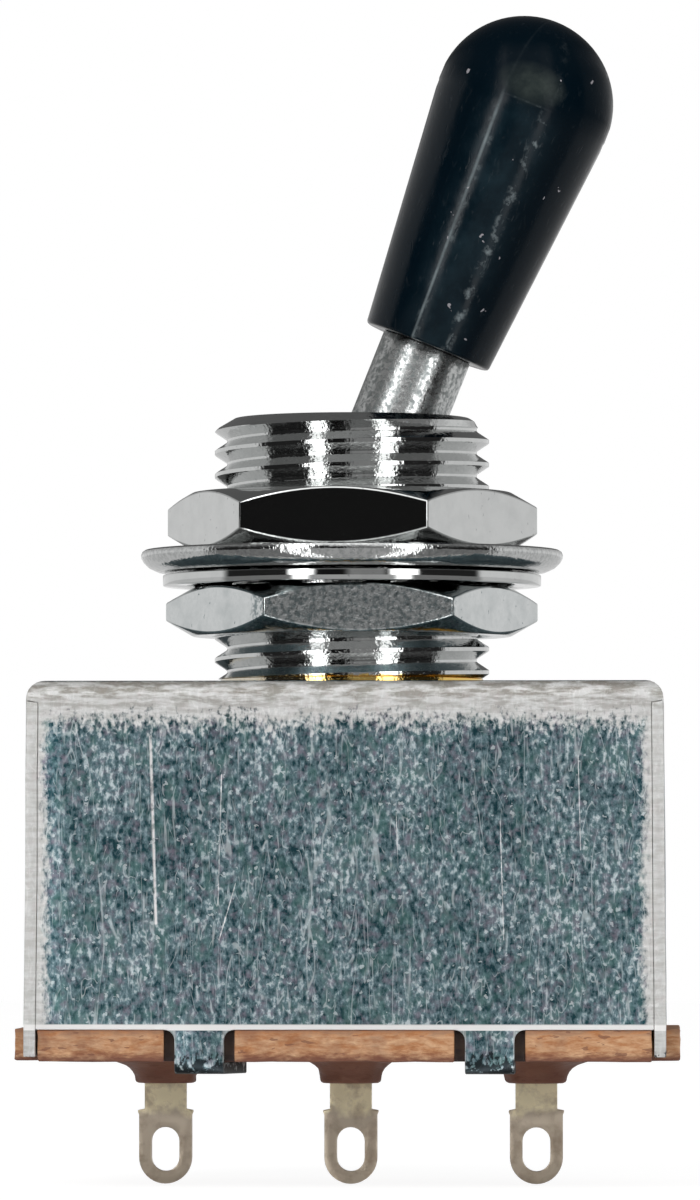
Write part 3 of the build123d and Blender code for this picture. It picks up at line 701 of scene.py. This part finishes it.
def makeLockWasher():
    bm = bmesh.new()
    outer, inner, low, high = (washers[key] for key in ("ringOuter", "ringInner", "ringLow", "ringHigh"))
    toothTurn = math.tau / washers["teeth"]
    twist = math.radians(washers["toothTwist"])
    lathe(bm, [(inner, low), (outer, low), (outer, high), (inner, high), (inner, low)], 140)
    weld(bm)
    for tooth in range(washers["teeth"]):
        middle = toothTurn * tooth
        chosen = []
        for face in bm.faces:
            spot = face.calc_center_median()
            away = (math.atan2(spot.y, spot.x) - middle + math.pi) % math.tau - math.pi
            if abs(spot.xy.length - inner) < 0.01 and abs(away) < toothTurn * washers["toothShare"]:
                chosen.append(face)
        verts = vertsOf(bmesh.ops.extrude_face_region(bm, geom=chosen)["geom"])
        bmesh.ops.delete(bm, geom=chosen, context="FACES_ONLY")
        outward = Vector((math.cos(middle), math.sin(middle), 0))
        bmesh.ops.translate(bm, vec=outward * (washers["toothTip"] - inner), verts=verts)
        bmesh.ops.rotate(bm, cent=(0, 0, (low + high) / 2), verts=verts,
                         matrix=Matrix.Rotation(twist, 3, outward))
    weld(bm)
    soften(bm, washers["edge"], 40)
    finishPiece(bm, "lockWasher", "body", nickelFlats, ["lock_washer"], 35)


makeDressWasher()
makeLockWasher()

# Lever and its moulded tip

lever = {
    "tilt": 21.8, "pivot": 6.5, "radius": 2.0, "rodRadius": 1.1, "hubRadius": 2.6, "hubHalf": 1.5,
    "arm": 11.5026, "studRadius": 1.7, "tipGap": 0.02, "studEnd": 16.3, "endRadius": 1.4, "endWidth": 2.4,
    "edge": 0.05,
}
tip = {
    "start": 8.8, "length": 15.2, "baseRadius": 2.84, "headRadius": 3.88, "boreRadius": 1.75,
    "boreEnd": 16.35, "edge": 0.12, "creaseDepth": 0.03, "headFrom": 3, "headSteps": 24, "steps": 128,
    "black": (0.0010, 0.0045, 0.0080), "grey": (0.16, 0.19, 0.20), "dust": (0.42, 0.40, 0.43),
    "teal": (0.009, 0.022, 0.030), "patch": (0.040, 0.050, 0.046),
    "rubbed": (3800.0, 1500.0, 0.9), "specks": (1500.0, 0.12, 0.16), "haze": (700.0, 5.0, 0.38, 0.66),
    "clots": (2300.0, 6.0, 0.52, 0.66),
    # stripes are degrees round the tip from its front, half width and half width of their even middle
    "scuffsAndSheen": (19.0, 5.5), "streak": (-12.5, 1.6, 0.3), "fringe": (-11.5, 4.5), "frontSheen": (3.0, 34.0, 4.0),
    "creaseStripe": (4.0, 20.0, 12.0), "stripeEnd": (19.2, 20.2), "onHead": 0.05,
    "scuffRub": 0.5, "streakHaze": (0.35, 0.95), "fringeShare": 0.5, "frontSheenHaze": (0.2, 0.75),
    "creaseHeight": 20.0, "creaseWidth": (0.02, 0.06), "creaseShare": 0.3, "creaseTint": 2.0,
    "creaseClots": (0.0, 0.6, 0.25, 1.0), "allOver": 0.03, "dustShare": 0.6,
    "patchStretch": (1.0, 1.0, 1.6), "patchPlace": (0.0002, -0.0036, 0.0333), "patchEdge": (0.6, 1.6),
    "patchHaze": (0.35, 1.0), "shineEnd": (19.4, 20.6), "shine": (0.13, 0.03),
    "roughness": (0.13, 0.24), "wornRoughness": 0.3, "fineNoise": (3000.0, 3.0), "bump": 0.3,
}


def leaning():
    tilt = Matrix.Rotation(math.radians(lever["tilt"]), 4, "Y")
    return Matrix.Translation((0, 0, lever["pivot"])) @ tilt


def makeLever():
    bm = bmesh.new()
    arm, hub, end = lever["arm"], lever["hubHalf"], lever["studEnd"]
    shoulder = tip["start"] - lever["tipGap"]
    rod, boss, grip, stud = (lever[key] for key in ("rodRadius", "hubRadius", "radius", "studRadius"))
    lathe(bm, [(0, -arm), (rod, -arm), (rod, -hub), (boss, -hub), (boss, hub), (grip, hub),
               (grip, shoulder), (stud, shoulder), (stud, end), (0, end)], 96)
    weld(bm)
    soften(bm, lever["edge"], 40)
    crosswise = Matrix.Translation((0, 0, -arm)) @ Matrix.Rotation(math.pi / 2, 4, "X")
    bmesh.ops.create_cone(bm, cap_ends=True, segments=48, radius1=lever["endRadius"],
                          radius2=lever["endRadius"], depth=lever["endWidth"], matrix=crosswise)
    bmesh.ops.transform(bm, matrix=leaning(), verts=bm.verts)
    nickel = nickelPlate("nickelRod", dull=(0.2, 0.22, 0.22), smooth=0.18, rough=0.4, grain=0.6,
                         speckle=0.9)
    finishPiece(bm, "leverRod", "lever_arm", nickel, ["lever"], 35)


def blackPlastic():
    material, tree, shader, coords = newMaterial("blackPlastic")
    lean = vectorMaths(tree, "SUBTRACT", coords, (0.0, 0.0, lever["pivot"] * mm))
    turned = {"Vector": lean, "Axis": (0, 1, 0), "Angle": -math.radians(lever["tilt"])}
    lean = addNode(tree, "ShaderNodeVectorRotate", turned, rotation_type="AXIS_ANGLE").outputs[0]
    parts = separate(tree, lean)
    rubbed = scratched(tree, lean, tip["rubbed"])
    dust = specked(tree, coords, tip["specks"])
    haze = mottled(tree, coords, tip["haze"])
    clots = mottled(tree, lean, tip["clots"])
    around = maths(tree, "ARCTAN2", parts["X"], times(tree, parts["Y"], -1.0))
    fading = span(tree, parts["Z"], tip["stripeEnd"], 1.0, tip["onHead"])

    def hazy(limits):
        return ranged(tree, haze, 0.0, 1.0, *limits)

    def downTheTip(degrees, width, edge=0.0):
        # a stripe down the tip, fading upwards where the head begins
        aside = absolute(tree, less(tree, around, math.radians(degrees)))
        stripe = ranged(tree, aside, math.radians(edge), math.radians(width), 1.0, 0.0)
        return times(tree, stripe, fading)

    # a stripe right of the middle, partly scuffs and partly a painted highlight; a fine painted highlight
    # streak left of it with a fringe; and a worn patch on the head
    scuffsAndSheen = plus(tree, clots, times(tree, rubbed, tip["scuffRub"]))
    scuffsAndSheen = times(tree, downTheTip(*tip["scuffsAndSheen"]), scuffsAndSheen)
    line = times(tree, downTheTip(*tip["streak"]), hazy(tip["streakHaze"]))
    fringe = times(tree, downTheTip(*tip["fringe"]), times(tree, clots, tip["fringeShare"]))
    # painted sheen: a lighter teal band down the front of the tip
    frontSheen = times(tree, downTheTip(*tip["frontSheen"]), hazy(tip["frontSheenHaze"]))
    crease = absolute(tree, less(tree, parts["Z"], tip["creaseHeight"] * mm))
    crease = span(tree, crease, tip["creaseWidth"], tip["creaseShare"], 0.0)
    crease = times(tree, crease, downTheTip(*tip["creaseStripe"]))
    crease = times(tree, crease, ranged(tree, clots, *tip["creaseClots"]))
    flat = vectorMaths(tree, "MULTIPLY", lean, tip["patchStretch"])
    patch = span(tree, vectorMaths(tree, "DISTANCE", flat, tip["patchPlace"]), tip["patchEdge"], 1.0, 0.0)
    base = blendColour(tree, frontSheen, tip["black"], tip["teal"])
    base = blendColour(tree, times(tree, patch, hazy(tip["patchHaze"])), base, tip["patch"])
    rubsAndHighlight = plus(tree, most(tree, line, fringe), times(tree, rubbed, tip["allOver"]))
    worn = plus(tree, scuffsAndSheen, times(tree, crease, tip["creaseTint"]))
    worn = maths(tree, "ADD", worn, rubsAndHighlight, clamp=True)
    # the grey is partly scuffs, rubbing and crease wear, partly painted highlight streaks
    base = blendColour(tree, worn, base, tip["grey"])
    base = blendColour(tree, times(tree, dust, tip["dustShare"]), base, tip["dust"])
    # the head has kept less of its shine than the grip
    shine = span(tree, parts["Z"], tip["shineEnd"], *tip["shine"])
    tree.links.new(shine, shader.inputs["Specular IOR Level"])
    roughness = plus(tree, hazy(tip["roughness"]), times(tree, worn, tip["wornRoughness"]))
    height = less(tree, noiseOf(tree, coords, *tip["fineNoise"]), rubbed)
    finishMaterial(tree, shader, base, roughness, height, tip["bump"])
    return material


def makeTip():
    bm = bmesh.new()
    start, edge, bore = (tip[key] for key in ("start", "edge", "boreRadius"))
    base, head = tip["baseRadius"], tip["headRadius"]
    centre = start + tip["length"] - head
    taper = (head - base) / (centre - start)
    meetAngle = math.atan(-taper)
    meetHeight, meetRadius = centre + head * math.sin(meetAngle), head * math.cos(meetAngle)
    points = [(bore, start), (base - edge, start), (base - edge * 0.3, start + edge * 0.3),
              (base + taper * edge, start + edge)]
    points += [(base + (meetRadius - base) * share, start + (meetHeight - start) * share)
               for share in (0.33, 0.66, 0.97)]
    points += [(meetRadius - tip["creaseDepth"], meetHeight), (meetRadius, meetHeight + 0.12)]
    lowest = math.radians(tip["headFrom"])
    for step in range(1, tip["headSteps"]):
        angle = lowest + (math.pi / 2 - lowest) * step / tip["headSteps"]
        points.append((head * math.cos(angle), centre + head * math.sin(angle)))
    lathe(bm, points + [(0, centre + head)], tip["steps"])
    lathe(bm, [(bore, start), (bore, tip["boreEnd"]), (0, tip["boreEnd"])], tip["steps"])
    weld(bm)
    bmesh.ops.transform(bm, matrix=leaning(), verts=bm.verts)
    finishPiece(bm, "leverTip", "lever_arm", blackPlastic(), ["lever_tip"], 60)


makeLever()
makeTip()

# Phenolic base board

board = {
    "halfLength": 12.97, "earHalfLength": 14.15, "halfDepth": 8.15, "earHalfDepth": 5.5, "top": -14.8,
    "thickness": 1.35, "notchCentre": 6.15, "notchHalf": 1.5, "notchFloor": 7.72, "edge": 0.06,
    "bossRadius": 1.3, "bossHeight": 1.05, "lugY": -1.15, "bosses": [(-8.0, 1.9), (0.0, 1.1), (8.0, 1.9)],
    "bossSteps": 8, "bossCurve": 1.1, "bossLumps": (1.4, 1.8), "lumpShare": 0.09,
    "fibres": 0.05, "fibreScale": (2.1, 5.0), "fibreMiddle": 0.6, "sag": 0.04, "sagScale": 1.3,
    "orange": (0.40, 0.165, 0.062), "pale": (0.66, 0.42, 0.25), "brown": (0.15, 0.055, 0.036),
    "shade": (0.018, 0.012, 0.012), "shadeShare": 0.92,
    "flat": (0.4, 0.4, 1.3), "strands": (3800.0, 4.0, 0.34, 0.72), "stains": (800.0, 5.0, 0.45, 0.75),
    "dots": (3600.0, 0.3, 0.3), "stainShare": 0.6, "dotShare": 0.6, "wander": 0.15,
    "lowShadeBand": (-16.1, -15.75), "lowShadeShare": 0.88, "topBand": (-15.05, -14.9), "topShadeShare": 0.5,
    "roughness": (0.5, 0.72), "bump": (0.5, 0.05),
}


def phenolic():
    material, tree, shader, coords = newMaterial("phenolicBoard", Specular_IOR_Level=0.4)
    parts = separate(tree, coords)
    flat = vectorMaths(tree, "MULTIPLY", coords, board["flat"])
    strands = mottled(tree, flat, board["strands"])
    stains = mottled(tree, coords, board["stains"])
    dots = specked(tree, flat, board["dots"])
    base = blendColour(tree, strands, board["orange"], board["pale"])
    base = blendColour(tree, times(tree, stains, board["stainShare"]), base, board["brown"])
    base = blendColour(tree, times(tree, dots, board["dotShare"]), base, board["brown"])
    # painted shade: the board's edge is darkened to brown in a band just under the can and along its lower
    # edge
    wander = board["wander"] * mm
    level = plus(tree, parts["Z"], ranged(tree, strands, 0.0, 1.0, -wander, wander))
    lowShade = times(tree, span(tree, level, board["lowShadeBand"], 1.0, 0.0), board["lowShadeShare"])
    topEdge = times(tree, span(tree, level, board["topBand"]), board["topShadeShare"])
    base = blendColour(tree, most(tree, lowShade, topEdge), base, board["brown"])
    # painted shade: the notch faces beside the tabs are darkened nearly to black, standing in for the
    # shadow in the gaps
    beside = absolute(tree, less(tree, absolute(tree, parts["X"]), board["notchCentre"] * mm))
    inward = absolute(tree, parts["Y"])
    notched = maths(tree, "LESS_THAN", beside, (board["notchHalf"] + 0.01) * mm)
    outerEnd = maths(tree, "LESS_THAN", inward, (board["halfDepth"] - 0.12) * mm)
    innerEnd = maths(tree, "GREATER_THAN", inward, (board["notchFloor"] - 0.03) * mm)
    notched = times(tree, times(tree, notched, outerEnd), innerEnd)
    base = blendColour(tree, times(tree, notched, board["shadeShare"]), base, board["shade"])
    roughness = ranged(tree, strands, 0.0, 1.0, *board["roughness"])
    finishMaterial(tree, shader, base, roughness, less(tree, strands, dots), *board["bump"])
    return material


def makeBoss(bm, x, flare):
    boss = bmesh.new()
    bottom = board["top"] - board["thickness"]
    radius, height, steps = board["bossRadius"], board["bossHeight"], board["bossSteps"]
    points = [(0, bottom + 0.3), (radius + flare, bottom + 0.3), (radius + flare, bottom + 0.01)]
    points += [(radius + flare * (1 - sine) ** board["bossCurve"], bottom - (height - 0.12) * (1 - cosine))
               for sine, cosine in quarterTurn(steps)]
    points += [(radius - 0.03, bottom - height + 0.05), (radius - 0.12, bottom - height),
               (0, bottom - height)]
    lathe(boss, points, 48)
    weld(boss)
    across, down = board["bossLumps"]
    for vert in boss.verts:
        if vert.co.z < bottom - 0.05:
            lump = noiseAt(vert.co.x * across + x, vert.co.y * across, vert.co.z * down)
            vert.co.x *= 1 + board["lumpShare"] * lump
            vert.co.y *= 1 + board["lumpShare"] * lump
    bmesh.ops.translate(boss, vec=(x, board["lugY"], 0), verts=boss.verts)
    mesh = bpy.data.meshes.new("boss")
    boss.to_mesh(mesh)
    boss.free()
    bm.from_mesh(mesh)
    bpy.data.meshes.remove(mesh)


def makeBoard():
    bm = bmesh.new()
    top, bottom = board["top"], board["top"] - board["thickness"]
    ear, end = (board["earHalfLength"], -board["earHalfDepth"]), board["halfLength"]
    front, floor = -board["halfDepth"], -board["notchFloor"]
    outline = [(-ear[0], ear[1]), (-end, ear[1]), (-end, front)]
    for centre in (-board["notchCentre"], board["notchCentre"]):
        low, high = centre - board["notchHalf"], centre + board["notchHalf"]
        outline += [(low, front), (low, floor), (high, floor), (high, front)]
    outline += [(end, front), (end, ear[1]), ear]
    outline += [(-x, -y) for x, y in outline]
    slab = bm.faces.new([bm.verts.new((x, y, top)) for x, y in outline])
    lower = vertsOf(bmesh.ops.extrude_face_region(bm, geom=[slab])["geom"])
    bmesh.ops.translate(bm, vec=(0, 0, bottom - top), verts=lower)
    cutAcross(bm, "x", [x * 0.98 + 0.1 for x in range(-14, 15)])
    cutAcross(bm, "y", [y * 1.03 for y in range(-7, 8)])
    cutAcross(bm, "z", [top - z for z in (0.3, 0.6, 0.9, 1.15)])
    weld(bm)
    soften(bm, board["edge"], 50)
    # sheared edges come out fibrous
    across, down = board["fibreScale"]
    for vert in bm.verts:
        onEnd = abs(vert.co.x) > board["halfLength"] - 0.1
        onSide = abs(vert.co.y) > board["halfDepth"] - 0.1
        push = noiseAt(vert.co.x * across, vert.co.y * across, vert.co.z * down)
        inward = board["fibres"] * (push - board["fibreMiddle"])
        if onEnd:
            vert.co.x += math.copysign(inward, vert.co.x)
        if onSide:
            vert.co.y += math.copysign(inward, vert.co.y)
        if vert.co.z < bottom + 0.08:
            sag = noiseAt(vert.co.x * board["sagScale"], vert.co.y * board["sagScale"], 8.0)
            vert.co.z += board["sag"] * sag
    for x, flare in board["bosses"]:
        makeBoss(bm, x, flare)
    finishPiece(bm, "phenolicBase", "body", phenolic(), ["base_board"], 50)


makeBoard()

# Stamped solder lugs

lug = {
    "width": 2.28, "end": -21.54, "shoulder": -18.4, "barb": 0.06, "barbHeight": 0.18, "neck": 1.8,
    "sheet": 0.5, "top": -14.3, "padLength": 2.8, "holeWidth": 1.2, "holeLength": 1.9, "y": -1.15,
    "edge": 0.05, "brass": (1.0, 0.90, 0.62), "tin": (0.54, 0.46, 0.36), "stain": (0.26, 0.19, 0.13),
    "neckBand": (-18.7, -18.2), "wander": 0.4, "wanderNoise": (900.0, 3.0),
    "clouds": (1300.0, 5.0, 0.45, 0.75), "stainShare": 0.8, "roughness": (0.3, 0.5), "bump": (0.35, 0.04),
}


def tinnedBrass():
    material, tree, shader, coords = newMaterial("tinnedBrass", Metallic=0.42)
    wander = noiseOf(tree, coords, *lug["wanderNoise"])
    wander = ranged(tree, wander, 0.3, 0.7, -lug["wander"] * mm, lug["wander"] * mm)
    neck = span(tree, plus(tree, separate(tree, coords)["Z"], wander), lug["neckBand"])
    clouds = mottled(tree, coords, lug["clouds"])
    base = blendColour(tree, neck, lug["tin"], lug["brass"])
    base = blendColour(tree, times(tree, clouds, lug["stainShare"]), base, lug["stain"])
    roughness = ranged(tree, clouds, 0.0, 1.0, *lug["roughness"])
    finishMaterial(tree, shader, base, roughness, clouds, *lug["bump"])
    return material


lugMaterial = tinnedBrass()


def arc(radius, centre, steps):
    # half a turn, from the right through the lowest point to the left
    turns = [math.pi * step / steps for step in range(steps + 1)]
    return [(radius * math.cos(turn), centre - radius * math.sin(turn)) for turn in turns]


def makeLug(name, node, x):
    bm = bmesh.new()
    half, neck, sheet = lug["width"] / 2, lug["neck"] / 2, lug["sheet"]
    endCentre, shoulder, barb = lug["end"] + half, lug["shoulder"], half + lug["barb"]
    rightSide = [(neck, lug["top"]), (neck, shoulder + 0.08), (barb - 0.02, shoulder + 0.03),
                 (barb, shoulder - 0.02), (half, shoulder - lug["barbHeight"])]
    outline = [(-px, pz) for px, pz in reversed(rightSide)] + rightSide + arc(half, endCentre, 20)
    slotHalf = lug["holeWidth"] / 2
    slotTop = endCentre + lug["holeLength"] - lug["holeWidth"]
    slot = arc(-slotHalf, slotTop, 12)[::-1]
    slot += [(-px, pz) for px, pz in arc(slotHalf, endCentre, 12)]
    edges = []
    for loop in (outline, slot):
        verts = [bm.verts.new((px, 0, pz)) for px, pz in loop]
        edges += [bm.edges.new(pair) for pair in zip(verts, verts[1:] + verts[:1])]
    filled = bmesh.ops.triangle_fill(bm, use_beauty=True, use_dissolve=False, edges=edges)["geom"]
    faces = [item for item in filled if isinstance(item, bmesh.types.BMFace)]
    rear = vertsOf(bmesh.ops.extrude_face_region(bm, geom=faces)["geom"])
    bmesh.ops.translate(bm, vec=(0, sheet, 0), verts=rear)
    bmesh.ops.translate(bm, vec=(0, -sheet / 2, 0), verts=bm.verts)
    weld(bm)
    soften(bm, lug["edge"], 40)
    pad = bmesh.ops.create_cube(bm, size=1)["verts"]
    bmesh.ops.scale(bm, vec=(lug["neck"], lug["padLength"], sheet), verts=pad)
    bmesh.ops.translate(bm, vec=(0, lug["padLength"] / 2 - sheet / 2, lug["top"] - sheet / 2), verts=pad)
    bmesh.ops.translate(bm, vec=(x, lug["y"], 0), verts=bm.verts)
    finishPiece(bm, name, "body", lugMaterial, [node], 40)


for lugName, node, x in (("lugLeft", "terminal_left", -8.0), ("lugCentre", "terminal_centre", 0.0),
                         ("lugRight", "terminal_right", 8.0)):
    makeLug(lugName, node, x)

# The inner pieces keep their shape and get their own finishes


def sliderPlastic():
    material, tree, shader, coords = newMaterial("sliderPlastic", Specular_IOR_Level=0.45)
    clouds = mottled(tree, coords, (300.0, 3.0, 0.3, 0.7))
    base = blendColour(tree, clouds, (0.70, 0.68, 0.62), (0.80, 0.79, 0.74))
    finishMaterial(tree, shader, base, ranged(tree, clouds, 0, 1, 0.42, 0.55), clouds, 0.15, 0.03)
    return material


springSteel = plainMetal("springSteel", (0.55, 0.55, 0.56), 0.3)
innerFinishes = {
    "detent_plate": springSteel, "pivot_pin": springSteel, "contact_spring_left": springSteel,
    "contact_spring_right": springSteel, "detent_ball_front": springSteel, "detent_ball_rear": springSteel,
    "detent_spring_front": springSteel, "detent_spring_rear": springSteel,
    "slider": sliderPlastic(), "bridge_contact": plainMetal("contactBronze", (0.66, 0.44, 0.22), 0.32),
}
for node, material in innerFinishes.items():
    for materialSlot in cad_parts[node].material_slots:
        materialSlot.material = material
print("inner pieces dressed")

# Studio: pale floor, white backdrop, and bands of light that the plated parts reflect

studio = {
    "floorHeight": -21.6, "floorSize": 1200.0, "floorColour": (0.82, 0.82, 0.82, 1), "floorRoughness": 0.9,
    "floorSpecular": 0.1, "floorWhite": 1.14, "whiteShare": 0.8, "bandStrength": 0.8, "bandShare": 0.96,
    "cameraDistance": 350.0, "cameraTurn": 2.3, "cameraHeight": -9.1,
    "aimHeight": 3.69, "aimSide": -0.087, "lens": 242.2, "sensor": 36.0, "clip": (0.01, 10.0),
    # brightness round the room, by the angle halfway between the camera and the place, in degrees
    "ground": [(-90, 0.8), (-43, 0.8), (-40.5, 0.25), (-18.5, 0.25), (-16.8, 3.6), (-14.0, 3.6),
               (-12.4, 0.55), (12.5, 0.55), (14, 3.6), (17, 3.6), (18.5, 0.25), (40.5, 0.25), (43, 0.8),
               (90, 0.8)],
    "level": [(-90, 0.8), (-43, 0.8), (-40.5, 0.02), (-20, 0.02), (-18.3, 3.6), (-15.9, 3.6),
              (-15.2, 8.0), (-13.8, 8.0), (-13.1, 2.8), (-12.4, 2.8), (-10.9, 0.01), (-2.5, 0.01),
              (0, 0.27), (9, 0.27), (11, 0.03), (12.7, 3.6), (19, 3.6), (21, 0.02), (40.5, 0.02),
              (43, 0.8), (90, 0.8)],
    "raised": [(-90, 0.5), (-43, 0.5), (-40.5, 0.28), (-20, 0.28), (-18.3, 2.4), (-15.9, 2.4),
               (-15.2, 5.0), (-13.8, 5.0), (-13.1, 2.4), (-12.4, 2.4), (-10.9, 1.6), (10.5, 1.6),
               (12.7, 2.4), (19, 2.4), (21, 0.28), (40.5, 0.28), (43, 0.5), (90, 0.5)],
    "raisedFrom": (0.2, 0.4), "overheadFrom": (0.52, 0.68),
    "skyStrength": 8.5, "ambient": 0.45, "overhead": 0.12,
    "lamps": [("keyLamp", (-160, -220, 190), 140, 0.5), ("fillLamp", (200, -200, 120), 180, 0.3)],
    "lampAim": (0, 0, -2),
}
cameraTurn = math.radians(studio["cameraTurn"])
towardsCamera = Vector((math.sin(cameraTurn), -math.cos(cameraTurn), 0.0))


def reflectedBands(tree, direction, keys):
    # the room's bands of light and dark, and how high the halfway direction points
    direction = vectorMaths(tree, "NORMALIZE", direction)
    halfway = vectorMaths(tree, "NORMALIZE", vectorMaths(tree, "ADD", direction, towardsCamera))
    parts = separate(tree, halfway)
    azimuth = maths(tree, "ARCTAN2", parts["X"], times(tree, parts["Y"], -1.0))
    spot = ranged(tree, azimuth, cameraTurn - math.pi / 2, cameraTurn + math.pi / 2)
    bands = []
    for key in keys:
        ramp = addNode(tree, "ShaderNodeValToRGB", {"Fac": spot})
        elements = ramp.color_ramp.elements
        elements.remove(elements[0])
        for index, (degrees, value) in enumerate(studio[key]):
            position = (degrees + 90) / 180
            element = elements[0] if index == 0 else elements.new(position)
            element.position = position
            element.color = (*[value / studio["skyStrength"]] * 3, 1)
        bands.append(ramp.outputs["Color"])
    return bands, parts["Z"]


def background(tree, colour, strength):
    return addNode(tree, "ShaderNodeBackground", {"Color": colour, "Strength": strength}).outputs[0]


def mixShaders(tree, share, first, second):
    return addNode(tree, "ShaderNodeMixShader", {0: share, 1: first, 2: second}).outputs[0]


def makeWorld():
    world = bpy.data.worlds.new("studio")
    bpy.context.scene.world = world
    world.use_nodes = True
    tree = world.node_tree
    tree.nodes.clear()
    direction = addNode(tree, "ShaderNodeTexCoord").outputs["Generated"]
    bands, height = reflectedBands(tree, direction, ("level", "raised"))
    sky = blendColour(tree, ranged(tree, height, *studio["raisedFrom"]), bands[0], bands[1])
    overhead = (studio["overhead"] / studio["skyStrength"],) * 3
    sky = blendColour(tree, ranged(tree, height, *studio["overheadFrom"]), sky, overhead)
    rays = addNode(tree, "ShaderNodeLightPath").outputs
    white = (1, 1, 1, 1)
    unseen = mixShaders(tree, rays["Is Glossy Ray"], background(tree, white, studio["ambient"]),
                        background(tree, sky, studio["skyStrength"]))
    mixed = mixShaders(tree, rays["Is Camera Ray"], unseen, background(tree, white, 1.0))
    tree.links.new(mixed, addNode(tree, "ShaderNodeOutputWorld").inputs["Surface"])


def makeFloor():
    bm = bmesh.new()
    bmesh.ops.create_grid(bm, x_segments=1, y_segments=1, size=studio["floorSize"] / 2 * mm)
    bmesh.ops.translate(bm, vec=(0, 0, studio["floorHeight"] * mm), verts=bm.verts)
    mesh = bpy.data.meshes.new("floor")
    bm.to_mesh(mesh)
    bm.free()
    floor = bpy.data.objects.new("floor", mesh)
    bpy.context.scene.collection.objects.link(floor)
    material, tree, shader, coords = newMaterial(
        "paleFloor", Base_Color=studio["floorColour"], Roughness=studio["floorRoughness"],
        Specular_IOR_Level=studio["floorSpecular"])
    rays = addNode(tree, "ShaderNodeLightPath").outputs
    white = {"Color": (1, 1, 1, 1), "Strength": studio["floorWhite"]}
    white = addNode(tree, "ShaderNodeEmission", white).outputs[0]
    seen = times(tree, rays["Is Camera Ray"], studio["whiteShare"])
    mixed = mixShaders(tree, seen, shader.outputs[0], white)
    # plated parts see the floor carry on the room's bands
    ground = vectorMaths(tree, "MULTIPLY", coords, (1.0, 1.0, 0.0))
    bands = reflectedBands(tree, ground, ("ground",))[0]
    banded = {"Color": bands[0], "Strength": studio["skyStrength"] * studio["bandStrength"]}
    banded = addNode(tree, "ShaderNodeEmission", banded).outputs[0]
    reflected = times(tree, rays["Is Glossy Ray"], studio["bandShare"])
    mixed = mixShaders(tree, reflected, mixed, banded)
    tree.links.new(mixed, tree.nodes["Material Output"].inputs["Surface"])
    mesh.materials.append(material)


def aimAt(holder, place, aim):
    holder.location = place * mm
    holder.rotation_euler = (aim * mm - holder.location).to_track_quat("-Z", "Y").to_euler()


def addLamp(name, place, width, power):
    lamp = bpy.data.lights.new(name, "AREA")
    lamp.shape = "RECTANGLE"
    lamp.size = lamp.size_y = width * mm
    lamp.energy = power
    holder = bpy.data.objects.new(name, lamp)
    bpy.context.scene.collection.objects.link(holder)
    aimAt(holder, Vector(place), Vector(studio["lampAim"]))
    holder.visible_glossy = False


def makeCamera():
    data = bpy.data.cameras.new("camera")
    data.sensor_fit, data.sensor_width, data.lens = "AUTO", studio["sensor"], studio["lens"]
    data.clip_start, data.clip_end = studio["clip"]
    camera = bpy.data.objects.new("camera", data)
    bpy.context.scene.collection.objects.link(camera)
    place = towardsCamera * studio["cameraDistance"] + Vector((0, 0, studio["cameraHeight"]))
    side = Vector((math.cos(cameraTurn), math.sin(cameraTurn), 0)) * studio["aimSide"]
    aimAt(camera, place, side + Vector((0, 0, studio["aimHeight"])))
    bpy.context.scene.camera = camera


makeWorld()
makeFloor()
for lampSettings in studio["lamps"]:
    addLamp(*lampSettings)
makeCamera()
bpy.context.scene.view_settings.view_transform = "Standard"
print("studio ready")
